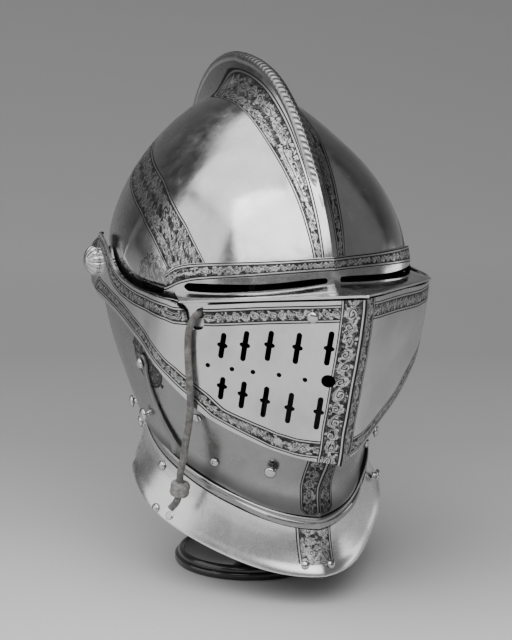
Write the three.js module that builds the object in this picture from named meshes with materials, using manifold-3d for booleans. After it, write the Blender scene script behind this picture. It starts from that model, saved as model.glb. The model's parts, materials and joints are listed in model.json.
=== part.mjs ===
// Close helmet of polished steel on a small turned foot, millimetres, +Z up, face towards -Y.
// Helmet frame used below: x to the wearer's left, f forward of the pivot axis, z above it.
import * as THREE from "three";
import { mergeVertices } from "three/addons/utils/BufferGeometryUtils.js";
import Module from "manifold-3d";

const wasm = await Module();
wasm.setup();

// ---- driving sizes -------------------------------------------------------
const PIVOT_HEIGHT = 196;          // pivot axis above the floor
const SHIFT_F = 69.6;              // forward distance from pivot axis to the middle of the box
const WALL_SKULL = 2.0;
const WALL_PLATE = 1.4;
const WALL_GORGET = 1.7;
const SKULL_C = { f: 50, z: 10 };  // middle of the skull
const SKULL_HALF = 87.8;           // half width of the skull
const COMB_WIDE = 17;              // half width of the comb's foot
const COMB_EXP = 2.0;
const UPPER_LAYER = 2.1;           // inside of the upper bevor outside the inside of the lower one
const VISOR_GAP = 0.6;             // visor inside above the skull
const NECK = { f: 55, front: 81, rear: 78, half: 68.6, z0: -79.7, slope: -0.451, point: 0.05 };
const RIM = { f: 58, front: 86, rear: 85, half: 79, z0: -117, slope: -0.405, point: 0.09, nape: 14 };
const KEEL = { tall: 8, span: 42 }; // ridge down the front of neck and gorget, mm and degrees to each side
const GORGET_REAR = -1.0;          // the rear gorget plate lies this far inside the base line
const ROLL = { r: 2.4, up: 5.4 };  // rolled edge of the lower bevor above the gorget
const FOOT = { f: 44.4, r: 49 };
const RECESS = { cheek: 4.4, pivot: 2.7 };  // the skull is set in under the jaw plates and at the pivots
const ARM_SWELL = 1.6;             // the visor arms stand this much further off the skull
const PIVOT_HOLE = 2.5;            // radius of the hole for the pivot in every plate
const PIVOT_PIN = 2.0;
const ROSETTE = { r: 9.5, tall: 6.8, flutes: 9 };
const HEAD_GAP = 0.35;             // between a rivet head and its plate
const HOOK = { f: 83, top: -42.8, rivet: -48.4, low: -108, wide: 5.6, thick: 1.8, off: 0.6 };
const CATCH = { hole: 2.5, stem: 2.0, head: 3.8 };
const LACE_R = 2.2;
const FACET_TOL = 0.08;             // facets flatter than this are merged

// ---- small helpers -------------------------------------------------------
const rad = (d) => (d * Math.PI) / 180;
const clamp = (v, a, b) => Math.min(b, Math.max(a, v));
const smooth = (a, b, v) => { const t = clamp((v - a) / (b - a), 0, 1); return t * t * (3 - 2 * t); };
// smooth curve through table rows [key, value], straight outside the ends
function curve(tab, k) {
  const n = tab.length;
  if (k <= tab[0][0]) return tab[0][1];
  if (k >= tab[n - 1][0]) return tab[n - 1][1];
  let i = 0;
  while (k > tab[i + 1][0]) i++;
  const slope = (j) => {
    if (j <= 0 || j >= n - 1) return 0;
    const d0 = (tab[j][1] - tab[j - 1][1]) / (tab[j][0] - tab[j - 1][0]);
    const d1 = (tab[j + 1][1] - tab[j][1]) / (tab[j + 1][0] - tab[j][0]);
    return d0 * d1 <= 0 ? 0 : (2 * d0 * d1) / (d0 + d1);
  };
  const h = tab[i + 1][0] - tab[i][0];
  const t = (k - tab[i][0]) / h;
  const m0 = slope(i) * h, m1 = slope(i + 1) * h;
  const a = tab[i][1], b = tab[i + 1][1];
  const t2 = t * t, t3 = t2 * t;
  return (2 * t3 - 3 * t2 + 1) * a + (t3 - 2 * t2 + t) * m0 + (-2 * t3 + 3 * t2) * b + (t3 - t2) * m1;
}
const world = (x, f, z) => [x, SHIFT_F - f, z + PIVOT_HEIGHT];

function solidFrom(verts, tris) {
  const v = new Float32Array(verts.flat());
  const build = (t) => {
    const mesh = new wasm.Mesh({ numProp: 3, vertProperties: v, triVerts: new Uint32Array(t.flat()) });
    mesh.merge();
    return new wasm.Manifold(mesh);
  };
  const s = build(tris);
  return s.volume() >= 0 ? s : build(tris.map(([a, b, c]) => [a, c, b]));
}
// closed skin: nU steps round, nV steps from one end point to the other
function skin(nU, nV, at) {
  const verts = [world(...at(0, 0))];
  for (let j = 1; j < nV; j++) for (let i = 0; i < nU; i++) verts.push(world(...at(i, j)));
  verts.push(world(...at(0, nV)));
  const last = verts.length - 1;
  const id = (i, j) => 1 + (j - 1) * nU + ((i + nU) % nU);
  const tris = [];
  for (let i = 0; i < nU; i++) {
    tris.push([0, id(i + 1, 1), id(i, 1)]);
    for (let j = 1; j < nV - 1; j++) {
      tris.push([id(i, j), id(i + 1, j), id(i, j + 1)]);
      tris.push([id(i + 1, j), id(i + 1, j + 1), id(i, j + 1)]);
    }
    tris.push([last, id(i, nV - 1), id(i + 1, nV - 1)]);
  }
  return solidFrom(verts, tris);
}
// side-view outline [f, z] run from x0 to x1
function prism(poly, x0 = -140, x1 = 140) {
  const pts = poly.map(([f, z]) => new THREE.Vector2(f, z));
  if (THREE.ShapeUtils.isClockWise(pts)) pts.reverse();
  const caps = THREE.ShapeUtils.triangulateShape(pts, []);
  const n = pts.length;
  const verts = [...pts.map((p) => world(x0, p.x, p.y)), ...pts.map((p) => world(x1, p.x, p.y))];
  const tris = [];
  for (const [a, b, c] of caps) { tris.push([a, b, c]); tris.push([n + a, n + c, n + b]); }
  for (let i = 0; i < n; i++) {
    const k = (i + 1) % n;
    tris.push([i, n + i, n + k]);
    tris.push([i, n + k, k]);
  }
  return solidFrom(verts, tris);
}
// closed band from a row of closed loops (same count of points), ends capped
function loft(loops) {
  const n = loops[0].length;
  const mid = (lp) => [0, 1, 2].map((k) => lp.reduce((s, q) => s + q[k], 0) / n);
  const verts = [mid(loops[0]), ...loops.flat(), mid(loops[loops.length - 1])].map((q) => world(...q));
  const last = verts.length - 1;
  const id = (k, c) => 1 + c * n + (k % n);
  const tris = [];
  for (let k = 0; k < n; k++) {
    tris.push([0, id(k + 1, 0), id(k, 0)]);
    for (let c = 0; c < loops.length - 1; c++) {
      tris.push([id(k, c), id(k + 1, c), id(k, c + 1)]);
      tris.push([id(k + 1, c), id(k + 1, c + 1), id(k, c + 1)]);
    }
    tris.push([last, id(k, loops.length - 1), id(k + 1, loops.length - 1)]);
  }
  return solidFrom(verts, tris);
}
// turned piece: profile rows [radius, along], axis from point p along unit direction d
function turned(profile, p, d, seg = 16) {
  const axis = new THREE.Vector3(...d).normalize();
  const q = new THREE.Quaternion().setFromUnitVectors(new THREE.Vector3(0, 0, 1), axis);
  const rows = profile;
  const put = (r, a, h) => {
    const v = new THREE.Vector3(r * Math.cos(a), r * Math.sin(a), h).applyQuaternion(q);
    return [v.x + p[0], v.y + p[1], v.z + p[2]];
  };
  const verts = [put(0, 0, rows[0][1])];
  for (const [r, h] of rows) for (let i = 0; i < seg; i++) verts.push(put(r, (2 * Math.PI * i) / seg, h));
  verts.push(put(0, 0, rows[rows.length - 1][1]));
  const last = verts.length - 1;
  const id = (i, j) => 1 + j * seg + (i % seg);
  const tris = [];
  for (let i = 0; i < seg; i++) {
    tris.push([0, id(i + 1, 0), id(i, 0)]);
    for (let j = 0; j < rows.length - 1; j++) {
      tris.push([id(i, j), id(i + 1, j), id(i, j + 1)]);
      tris.push([id(i + 1, j), id(i + 1, j + 1), id(i, j + 1)]);
    }
    tris.push([last, id(i, rows.length - 1), id(i + 1, rows.length - 1)]);
  }
  return solidFrom(verts, tris);
}

// ---- skull ---------------------------------------------------------------
// angle about the skull's middle (0 front, 90 top), radius of the bowl, height of the comb on it
const SKULL_R = [[-30, 124], [-15, 113], [0, 108], [15, 103.5], [30, 99.5], [45, 97], [60, 96.5], [75, 98], [90, 100],
  [105, 102], [120, 104], [135, 107], [150, 111], [165, 115], [180, 117.5], [195, 116.5], [210, 111], [222, 107],
  [232, 109], [241, 118], [250, 127], [262, 140], [280, 150], [300, 146], [330, 124]];
const COMB_H = [[-8, 1.5], [6, 4], [14, 4.5], [21, 5], [31, 6.5], [45, 10], [60, 15], [75, 18.5], [90, 20], [105, 22.5],
  [117, 23.5], [125, 21.5], [137, 15], [150, 8], [165, 3.5], [178, 0], [300, 0]];
const skullExp = (deg) => {
  const up = clamp(Math.sin(rad(deg)), 0, 1);
  const fore = smooth(0.2, 1, Math.cos(rad(deg)));
  return { p: 1.95 - 0.45 * up + 0.3 * fore, q: 1.95 - 0.35 * up + 0.3 * fore };
};
function skullPoint(deg, x, inset) {
  const half = SKULL_HALF - inset;
  const { p, q } = skullExp(deg);
  const R = curve(SKULL_R, deg) - inset;
  const t = clamp(Math.abs(x) / half, 0, 1);
  let r = R * Math.pow(1 - Math.pow(t, q), 1 / p);
  if (inset <= 0) {
    const w = Math.abs(x) / COMB_WIDE;
    if (w < 1) r += curve(COMB_H, deg) * Math.pow(1 - w, COMB_EXP);
  }
  const f = SKULL_C.f + r * Math.cos(rad(deg)), z = SKULL_C.z + r * Math.sin(rad(deg));
  if (inset < 0) return [x, f, z];
  const cheek = RECESS.cheek * smooth(2, -8, z) * smooth(-75, -52, z) * smooth(-40, -12, f);
  const pivot = RECESS.pivot * (1 - smooth(10, 20, Math.hypot(f, z)));
  return [x * (1 - Math.max(cheek, pivot) / SKULL_HALF), f, z];
}
const SKULL_ANGLES = [];
for (let d = -30; d < 330; d += 12) SKULL_ANGLES.push(d);
const lateral = (stops) => [...stops.slice().reverse().map((v) => -v), 0, ...stops];
function skullBlob(inset) {
  const half = SKULL_HALF - inset;
  const mids = inset <= 0 ? [2, 6, 17] : [17];
  const xs = lateral([...mids, ...[34, 50, 64, 75, 82.5, 86.4].map((v) => (v * half) / SKULL_HALF), half]);
  const angles = inset <= 0 ? SKULL_ANGLES : SKULL_ANGLES.filter((_, i) => i % 2 === 0);
  return skin(angles.length, xs.length - 1, (i, j) => {
    const [x, f, z] = skullPoint(angles[i], xs[j], inset);
    const swell = inset < 0 ? (ARM_SWELL * smooth(12, 45, f) * (1 - smooth(66, 105, f))) / SKULL_HALF : 0;
    return [x * (1 + swell), f, z];
  });
}
const FACE_OPENING = [[300, 17], [118, 15.5], [110, 8], [105, -5], [98, -10], [60, -10], [40, -14], [24, -18], [13, -28], [9, -50], [8, -160], [300, -160]];
const NECK_CUT = [[-200, NECK.z0 - 200 * -NECK.slope], [300, NECK.z0 + 300 * NECK.slope], [300, -330], [-200, -330]];

// ---- pivoted face plates -------------------------------------------------
// distance from pivot axis, half width inside the lower bevor
const SIDE_X = [[0, 84.2], [9, 84.4], [14, 85.5], [20, 86.7], [28, 88.0], [50, 89.8], [80, 89.8], [100, 88.3]];
const BOSS_R = 9;                  // flat round the pivot
const BOSS_DIP = 3;                // the boss of the lower bevor starts to fall off here, towards the rear
const SIDE_END = 100;
// share of the way from SIDE_END to the ridge, share of the half width left
const PROW = [[0, 1], [0.1, 0.987], [0.2, 0.952], [0.28, 0.895], [0.36, 0.812], [0.5, 0.645], [0.68, 0.405], [0.84, 0.203], [1, 0]];
const PROW_STEPS = [0.12, 0.24, 0.36, 0.55, 0.8];
const STATIONS = [0, 4, 10, 16, 27, 48, 76, 100];
const TILT = 0.42;                 // slope of the arms behind the pivot
// upper bevor arm: angle at the pivot, slope towards the skull between r 4 and 11, and beyond
const HUG_NEAR = [[125, 0], [150, 0.42], [200, 0.42], [225, 0]];
const HUG_FAR = [[52, 0], [68, 0.32], [90, 0.75], [120, 0.75], [150, 0.9], [180, 0.9], [210, 0.6], [240, 0.3], [260, 0]];
// angle at the pivot axis (0 forward), radius of the ridge outside
const UPPER_RIDGE = [[-200, 120], [-110, 150], [-70, 190], [-46, 203], [-36, 203], [-29.5, 200.5], [-24, 196.2], [-16.4, 195.5],
  [-10.5, 197.5], [-4.3, 201], [1.2, 204], [10, 204], [30, 190], [90, 150], [160, 120]];
const LOWER_RIDGE = [[-200, 110], [-110, 140], [-75, 168], [-58, 184], [-50, 192.5], [-46, 197], [-40, 200], [-35, 199.5], [-31, 196.5], [-27, 192.5],
  [-20, 190.5], [-10, 190], [10, 190], [30, 180], [90, 140], [160, 110]];
const neckX = (f) => NECK.half * Math.sqrt(Math.max(0, 1 - Math.pow((f - NECK.f) / (f > NECK.f ? NECK.front : NECK.rear), 2)));
const overNeck = (f, z) => z - NECK.z0 - NECK.slope * f;
// half width at distance r and angle deg for a plate "layer" outside the base side
function plateX(r, deg, ridge, layer, low, high, hug = false) {
  const base = curve(SIDE_X, 0) + layer;
  let side = curve(SIDE_X, r) + layer;
  const fore = smooth(low - 45, low, deg) * (1 - smooth(high, high + 45, deg));
  const turn = deg < -90 ? deg + 360 : deg;
  const drop = hug ? curve(HUG_NEAR, turn) * clamp(r - 4, 0, 7) + curve(HUG_FAR, turn) * Math.max(0, r - 11) : 0;
  const rear = hug ? base : base - TILT * Math.max(clamp(r - BOSS_DIP, 0, BOSS_R - BOSS_DIP), r - BOSS_R);
  side = rear * (1 - fore) + side * fore - drop;
  let x = side;
  if (r > SIDE_END) x = side * curve(PROW, (r - SIDE_END) / (ridge - SIDE_END));
  return Math.max(0.4, x);
}
function plateBlob(angles, ridgeTab, layer, inset, low, high, hug = false) {
  const nSide = STATIONS.length, nHalf = nSide + PROW_STEPS.length;
  return skin(angles.length, 2 * nHalf, (i, j) => {
    const deg = angles[i];
    const ridge = curve(ridgeTab, deg) - inset * 1.3;
    const k = j <= nHalf ? j : 2 * nHalf - j;
    const sign = j <= nHalf ? -1 : 1;
    const r = k === nHalf ? ridge : k < nSide ? STATIONS[k] : SIDE_END + PROW_STEPS[k - nSide] * (ridge - SIDE_END);
    const x = k === nHalf ? 0 : plateX(r, deg, ridge, layer - inset, low, high, hug);
    return [sign * x, r * Math.cos(rad(deg)), r * Math.sin(rad(deg))];
  });
}
const UPPER_ANGLES = [-180, -140, -105, -75, -55, -42, -35, -29, -23, -16, -9, -2, 5, 14, 38, 60, 90, 120, 150];
const FLANGE_ANGLES = [-180, -120, -60, -30, -20, -14, -9, -4, 0, 4, 9, 20, 60, 120];
const UPPER_OUT = UPPER_LAYER + WALL_PLATE;

const UPPER_OUTLINE = [[205.5, 4.3], [160, -1.4], [140, -4.4], [130, -5.2], [123, -5], [118, -4], [91, -3.4], [74, -2.4], [60, -0.8], [48, 2.8], [40, 7.8], [33, 13.5],
  [26, 18.5], [16, 20.8], [6, 18.4], [-3, 13.6], [-9, 7.6], [-11.4, 0], [-9.6, -7.4], [-4.4, -13.2], [4, -17], [14, -19.6], [32, -21.2], [48, -23.8], [64, -28],
  [80, -33.2], [93, -39.6], [105, -48.2], [114, -59], [123, -75], [136, -88], [147, -95.5], [160, -100], [176, -102.5], [230, -111], [230, 8]];
// slot for the lace in the right side of the upper bevor's top edge
const LACE_NOTCH = [[138.6, 4], [138, -6.2], [137.5, -8.5], [136.8, -17], [135, -19.8], [130.5, -19.8], [128.8, -17], [128.2, -10], [126.4, -7], [123, -4.4], [122, 4]];
const LOWER_OUTLINE = [[-8.2, 2], [-6, 5.8], [-2, 8], [3, 7.8], [7, 5], [10, 1.6], [16, -1.6], [60, -16.5], [84, -26], [100, -36], [112, -49], [120, -59], [136, -71.5], [160, -83.5], [176, -88.5], [230, -105], [230, -190], [-1, -90],
  [-3, -78], [-4, -60], [-5, -30], [-8.6, -10], [-9, -3]];
const FLANGE_OUTLINE = [[103, -3.6], [123, -3.8], [206, 6.6], [206, -9], [143, -17], [137, -23.5], [108, -23.5], [103, -18]];
const BROW_OUTLINE = [[240, 30], [163, 22], [140, 19.8], [119, 16.8], [108, 13.2], [103.5, 9.5], [102, 4], [100.5, -3], [97, -4.8], [88, -4.8], [74, -3.8], [60, -2.2],
  [48, 1.4], [40, 6.2], [33, 11.8], [27, 14.4], [21, 12.4], [15.5, 9], [10, 7.2], [4, 6.2], [-3.2, 4.8], [-5.6, 0], [-4, -4], [0, -5.6], [5, -4.2], [9, 1.2], [20, -0.4], [30, -3.4], [45, -9.4], [60, -13.6], [92, -15], [101, -12],
  [108, -6.6], [125, -4], [150, 0.5], [168, 4.2], [240, 12]];
const edgeZ = (f) => -3.3 + (10.5 * (f - 123)) / 82.5;

// where the outside of the upper bevor has half width x, near its top edge
function prowF(x, ridge, layer) {
  let a = SIDE_END, b = ridge;
  for (let i = 0; i < 40; i++) {
    const m = (a + b) / 2;
    if (plateX(m, 0, ridge, layer, -112, 30) > x) a = m; else b = m;
  }
  return a;
}
function ledge() {
  const loops = [];
  const N = 11, out = UPPER_OUT + 1.2, tip = 206;
  for (let i = -N; i <= N; i++) {
    const q = i / N, xo = 84.5 * q, xi = 79 * q;
    const fo = Math.abs(q) < 1e-6 ? tip : prowF(Math.abs(xo), tip, out);
    const zo = edgeZ(fo);
    const zr = 6.2 - 6.8 * Math.abs(q);
    const fi = skullPoint(0, xi, -VISOR_GAP - 0.6)[1];
    loops.push([[xi, fi, zr], [xo, fo, zo], [xo, fo, zo - 1.8], [xi, fi, zr - 1.9]]);
  }
  return loft(loops);
}
const SIGHT = [[-74, 0.4], [-76, 2.8], [-74, 5.4], [-40, 7.6], [-5.4, 9.9], [-4, 8.3], [-5.4, 6.6], [-40, 3.8]];
function sight(mirror) {
  const poly = SIGHT.map(([x, z]) => [mirror * x, z]);
  const loop = (f) => poly.map(([x, z]) => [x, f, z]);
  return loft([loop(70), loop(230)]);
}

// lower bevor: columns round the neck, rows by height over the neck plane
const LOWER_COLS = [-136, -129, -123.5, -120.3, -117, -107, -94, -80, -66, -53, -41, -30, -20, -10, 0, 10, 20, 30, 41, 53, 66, 80, 94, 107, 117, 120.3, 123.5, 129, 136];
const LOWER_ROWS = [-3, 0, 7, 18, 36, 58, 78, 89.5];
const keel = (deg) => KEEL.tall * Math.pow(clamp(1 - Math.abs(deg) / KEEL.span, 0, 1), 1.15);
function neckReach(deg, off) {
  const c = Math.cos(rad(deg)), s = Math.sin(rad(deg));
  const rf = (c > 0 ? NECK.front : NECK.rear) + off, rx = NECK.half + off;
  let k = 1 / Math.hypot(c / rf, s / rx);
  if (c > 0) k *= 1 - NECK.point * Math.pow(Math.sin(2 * rad(deg)), 2);
  return k;
}
function lowerPoint(deg, d, layer) {
  const c = Math.cos(rad(deg)), s = Math.abs(Math.sin(rad(deg)));
  const at = (k) => { const f = NECK.f + k * c; return [k * s, f, NECK.z0 + NECK.slope * f + d]; };
  let a = 20, b = 190;
  for (let i = 0; i < 44; i++) {
    const m = (a + b) / 2;
    const [x, f, z] = at(m);
    const r = Math.hypot(f, z), ang = (Math.atan2(z, f) * 180) / Math.PI;
    const ridge = curve(LOWER_RIDGE, ang > 170 ? ang - 360 : ang) - (WALL_PLATE - layer) * 1.3;
    if (r < ridge && x < plateX(r, ang > 170 ? ang - 360 : ang, ridge, layer, -80, 100)) a = m; else b = m;
  }
  const w = Math.pow(clamp(d / 80, 0, 1), 0.62);
  const neck = neckReach(deg, layer);
  const [x, f, z] = at(neck + (a - neck) * w + keel(deg) * (1 - smooth(0, 24, d)));
  return [deg < 0 ? -x : x, f, z];
}
function lowerBevor() {
  const loops = LOWER_COLS.map((deg) => [...LOWER_ROWS.map((d) => lowerPoint(deg, d, WALL_PLATE)), ...LOWER_ROWS.slice().reverse().map((d) => lowerPoint(deg, d, 0))]);
  return loft(loops).intersect(prism(LOWER_OUTLINE)).add(neckRoll());
}

// ---- neck and gorget -----------------------------------------------------
// share of the way down, share of the flare reached
const FLARE = [[0, 0], [0.25, 0.12], [0.5, 0.34], [0.75, 0.64], [1, 1]];
function gorgetPoint(deg, k, off) {
  const a = rad(deg), c = Math.cos(a), s = Math.sin(a);
  const n = { f: NECK.f, rx: NECK.half + off, rf: (c > 0 ? NECK.front : NECK.rear) + off };
  const m = { f: RIM.f, rx: RIM.half + off, rf: (c > 0 ? RIM.front : RIM.rear) + off };
  const w = curve(FLARE, k);
  const mix = (p, q, t) => p + (q - p) * t;
  const ridge = keel(deg);
  const thin = c > 0 ? 1 - mix(NECK.point, RIM.point, w) * Math.pow(Math.sin(2 * a), 2) : 1;
  const x = mix(n.rx, m.rx, w) * s * thin;
  const f = mix(n.f, m.f, w) + (mix(n.rf, m.rf, w) * thin + ridge) * c;
  const fN = NECK.f + (n.rf + ridge) * c, fM = RIM.f + m.rf * c;
  const zN = NECK.z0 + NECK.slope * fN, zM = RIM.z0 + RIM.slope * fM - RIM.nape * smooth(0.45, 0.8, -c);
  return [x, f, mix(zN - 3.6, zM, k)];
}
function gorget(from, to, steps, off, wall) {
  const ks = [0, 0.25, 0.5, 0.75, 1];
  const loops = [];
  for (let i = 0; i <= steps; i++) {
    const deg = from + ((to - from) * i) / steps;
    loops.push([...ks.map((k) => gorgetPoint(deg, k, off)), ...ks.slice().reverse().map((k) => gorgetPoint(deg, k, off - wall))]);
  }
  return loft(loops);
}
function neckRoll() {
  const loops = [];
  for (let i = 0; i <= 22; i++) {
    const deg = -104 + (208 * i) / 22;
    const [x, f, z] = gorgetPoint(deg, 0, 0.2);
    const a = rad(deg);
    const loop = [];
    for (let k = 0; k < 6; k++) {
      const b = (2 * Math.PI * k) / 6 + Math.PI / 6;
      loop.push([x + ROLL.r * Math.cos(b) * Math.sin(a), f + ROLL.r * Math.cos(b) * Math.cos(a), z + ROLL.up + ROLL.r * Math.sin(b)]);
    }
    loops.push(loop);
  }
  return loft(loops);
}

// ---- cuts and fittings ---------------------------------------------------
// turned piece in helmet coordinates
const turnedAt = (profile, [x, f, z], [nx, nf, nz], seg) => turned(profile, world(x, f, z), [nx, -nf, nz], seg);
const drill = (r, p, n, reach, seg = 8) => turnedAt([[r, -reach], [r, reach]], p, n, seg);
const cross3 = (a, b) => [a[1] * b[2] - a[2] * b[1], a[2] * b[0] - a[0] * b[2], a[0] * b[1] - a[1] * b[0]];
const unit = (v) => { const l = Math.hypot(...v); return v.map((q) => q / l); };
const along = (p, n, d) => p.map((q, i) => q + n[i] * d);
const pivotDrill = (side) => drill(PIVOT_HOLE, [side * 84, 0, 0], [1, 0, 0], 12);

// breaths in the right wall of the upper bevor: middle of the cross, length above and below it
const BREATH_N = unit([-0.64, 0.73, -0.24]);
const BREATH_DOWN = unit([0, -0.31, -0.943]);
const BREATH_SIDE = unit(cross3(BREATH_DOWN, BREATH_N));
const SLOT = { half: 1.5, arm: 2.9, armHalf: 1.4 };
const SLOTS = [
  [-62.9, 142.2, -28.6, 8.2, 8.8], [-52.6, 151.3, -27.7, 9.4, 10.7], [-41.3, 160.9, -26.8, 9.4, 10.7],
  [-28.5, 171.8, -27.3, 9.7, 11], [-14.5, 184.4, -26.9, 11.3, 11.3],
  [-60.5, 136, -54.8, 6.3, 9.4], [-50.3, 143.1, -59.2, 8.8, 10], [-39.4, 150.8, -62.8, 10, 11.3],
  [-27.7, 159.8, -66.3, 10.6, 10.6], [-14.3, 171.1, -67.8, 10.3, 12.2]];
const SMALL_HOLES = [[-68.3, 133.2, -41.9], [-57.1, 142.8, -43.4], [-47.1, 150.6, -44.5], [-35, 160.5, -45.5], [-22.9, 170.3, -47.5]];
const BIG_HOLE = [-12.4, 179.3, -47.8];
function slotCut([x, f, z, up, down]) {
  const { half: h, arm: a, armHalf: t } = SLOT;
  const poly = [[-h, -up], [h, -up], [h, -t], [a, -t], [a, t], [h, t], [h, down], [-h, down], [-h, t], [-a, t], [-a, -t], [-h, -t]];
  const loop = (d) => poly.map(([s, b]) => [0, 1, 2].map((k) => [x, f, z][k] + BREATH_SIDE[k] * s + BREATH_DOWN[k] * b + BREATH_N[k] * d));
  return loft([loop(-8), loop(8)]);
}
function breathe(solid) {
  for (const row of SLOTS) solid = solid.subtract(slotCut(row));
  for (const p of SMALL_HOLES) solid = solid.subtract(drill(1.5, p, BREATH_N, 8, 6));
  return solid.subtract(drill(4.2, BIG_HOLE, BREATH_N, 8, 12));
}

// round heads: place on the plate, way out of it
const HEADS = [
  // name, radius, kind, place, way out
  ["bevor_dome_rivet", 3.6, "dome", [-23.4, 181.4, -7.8], [-0.65, 0.73, -0.19]],
  ["bevor_band_rivet", 2.8, "flat", [-30.6, 150.2, -88.4], [-0.66, 0.68, -0.33]],
  ["jaw_rivet_right", 2.9, "dome", [-51.7, 105.5, -110.1], [-0.79, 0.54, -0.3]],
  ["jaw_rivet_left", 2.9, "dome", [51.7, 105.5, -110.1], [0.79, 0.54, -0.3]],
  ["jaw_flush_rivet", 3.0, "flat", [-65.4, 109.8, -80], [-0.73, 0.5, -0.46]],
  ["gorget_rivet_right", 3.0, "dome", [-70.4, 66.9, -120], [-0.95, 0.25, 0.16]],
  ["gorget_low_rivet_right", 3.0, "dome", [-77.4, 73.5, -144.8], [-0.83, 0.35, 0.44]],
  ["gorget_flush_rivet", 2.8, "flat", [-72.7, 83.7, -147.6], [-0.74, 0.53, 0.43]],
  ["panel_rivet_right", 2.6, "dome", [-11.1, 148, -168.8], [-0.29, 0.89, 0.35]],
  ["panel_rivet_left", 2.6, "dome", [4.9, 150.5, -169.8], [0.18, 0.92, 0.35]]];
const headProfile = (r, kind) => kind === "dome"
  ? [[r, HEAD_GAP], [r, 0.9], [0.82 * r, 0.9 + 0.3 * r], [0.45 * r, 0.9 + 0.5 * r]]
  : [[r, HEAD_GAP], [r, 0.7], [0.7 * r, 1.0]];
// mushroom studs: waisted stem under a domed head
const STUD = [[1.9, HEAD_GAP], [1.8, 2.6], [4, 3.4], [3.8, 4.4], [2, 5.6]];

// half width of the jaw plate at f, z
function jawX(f, z) {
  const d = overNeck(f, z);
  let a = -136, b = 0;
  for (let i = 0; i < 40; i++) { const m = (a + b) / 2; if (lowerPoint(m, d, WALL_PLATE)[1] < f) a = m; else b = m; }
  return lowerPoint(a, d, WALL_PLATE)[0];
}
// swivel hook: flat bar down the jaw with a round eye at its rivet
const HOOK_N = unit([-0.965, 0, -0.26]);
function hook() {
  const rows = [[-43.2, 2], [-45, 4.2], [HOOK.rivet, 5], [-52, 4.2], [-55, 2.3], [-64, 1.8], [-74, 1.7], [-84, 1.7], [-93, 1.8], [-101, 2], [-106, 1.8], [HOOK.low, 1.1]];
  const loops = rows.map(([z, half]) => {
    const lift = HOOK.off + 1.6 * smooth(-98, -108, z);
    const x = Math.min(jawX(HOOK.f - 2.6, z), jawX(HOOK.f + 2.6, z)) - lift;
    return [[x, HOOK.f - half, z], [x, HOOK.f + half, z], [x - HOOK.thick, HOOK.f + half, z], [x - HOOK.thick, HOOK.f - half, z]];
  });
  return loft(loops);
}
const hookSeat = () => [jawX(HOOK.f, HOOK.rivet) - HOOK.off, HOOK.f, HOOK.rivet];

// pivot: pin through all the plates under a fluted head
function rosette(side) {
  const x0 = curve(SIDE_X, 0) + UPPER_OUT + HEAD_GAP;
  const seg = 2 * ROSETTE.flutes;
  const rows = [[1, 0], [0.92, 0.4], [0.66, 0.75], [0.3, 1]];
  const ring = (r, h, flute) => Array.from({ length: seg }, (_, i) => {
    const a = (2 * Math.PI * i) / seg, q = r * (i % 2 ? 1 - flute : 1);
    return [side * (x0 + h), q * Math.cos(a), q * Math.sin(a)];
  });
  const head = rows.map(([r, h]) => ring(r * ROSETTE.r, h * ROSETTE.tall, r > 0.3 ? 0.1 : 0));
  const pin = [ring(PIVOT_PIN, -11, 0), ring(PIVOT_PIN, 0, 0)];
  return loft([...pin, ...head]);
}

// lace hung through the visor, route from behind the plate to its tip
const LACE_HOLE = { p: [-73.4, 133.2, -10.5], n: unit([-0.7, 0.71, 0.05]), r: 3.0 };
const LACE = [[-69.6, 129.4, -10.7], [-73.4, 133.2, -10.5], [-77.4, 136.6, -10.9], [-80, 136.6, -14.6], [-80.8, 134, -20.4], [-80.2, 131, -32.4],
  [-77.9, 127.6, -51.4], [-76.1, 124.8, -64.4], [-73.9, 118, -78.4], [-73.4, 111.6, -92.4], [-73.5, 107, -106.2], [-74.5, 104.6, -116], [-74.2, 103.4, -124.8],
  [-75.6, 101.6, -133.1], [-79.2, 100, -137.9]];
function lace() {
  const path = new THREE.CatmullRomCurve3(LACE.map((q) => new THREE.Vector3(...world(...q))));
  const shape = new THREE.Shape();
  for (let i = 0; i < 8; i++) shape[i ? "lineTo" : "moveTo"](LACE_R * Math.cos((i * Math.PI) / 4), LACE_R * Math.sin((i * Math.PI) / 4));
  const g = new THREE.ExtrudeGeometry(shape, { steps: 16, extrudePath: path, bevelEnabled: false });
  const m = mergeVertices(new THREE.BufferGeometry().setAttribute("position", g.getAttribute("position")), 1e-4);
  const pos = m.getAttribute("position"), idx = m.getIndex();
  const verts = [], tris = [];
  for (let i = 0; i < pos.count; i++) verts.push([pos.getX(i), pos.getY(i), pos.getZ(i)]);
  for (let i = 0; i < idx.count; i += 3) tris.push([idx.getX(i), idx.getX(i + 1), idx.getX(i + 2)]);
  return solidFrom(verts, tris);
}
const TOGGLE = { at: [-74.2, 103.4, -124.8], n: unit([0.1, 0.15, 1]), r: 6, half: 4.6, bore: 3.1 };
const toggle = () => turnedAt([[TOGGLE.r - 1.4, -TOGGLE.half], [TOGGLE.r, -TOGGLE.half + 1.6], [TOGGLE.r, TOGGLE.half - 1.6], [TOGGLE.r - 1.4, TOGGLE.half]], TOGGLE.at, TOGGLE.n, 12)
  .subtract(drill(TOGGLE.bore, TOGGLE.at, TOGGLE.n, 12, 10));

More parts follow.
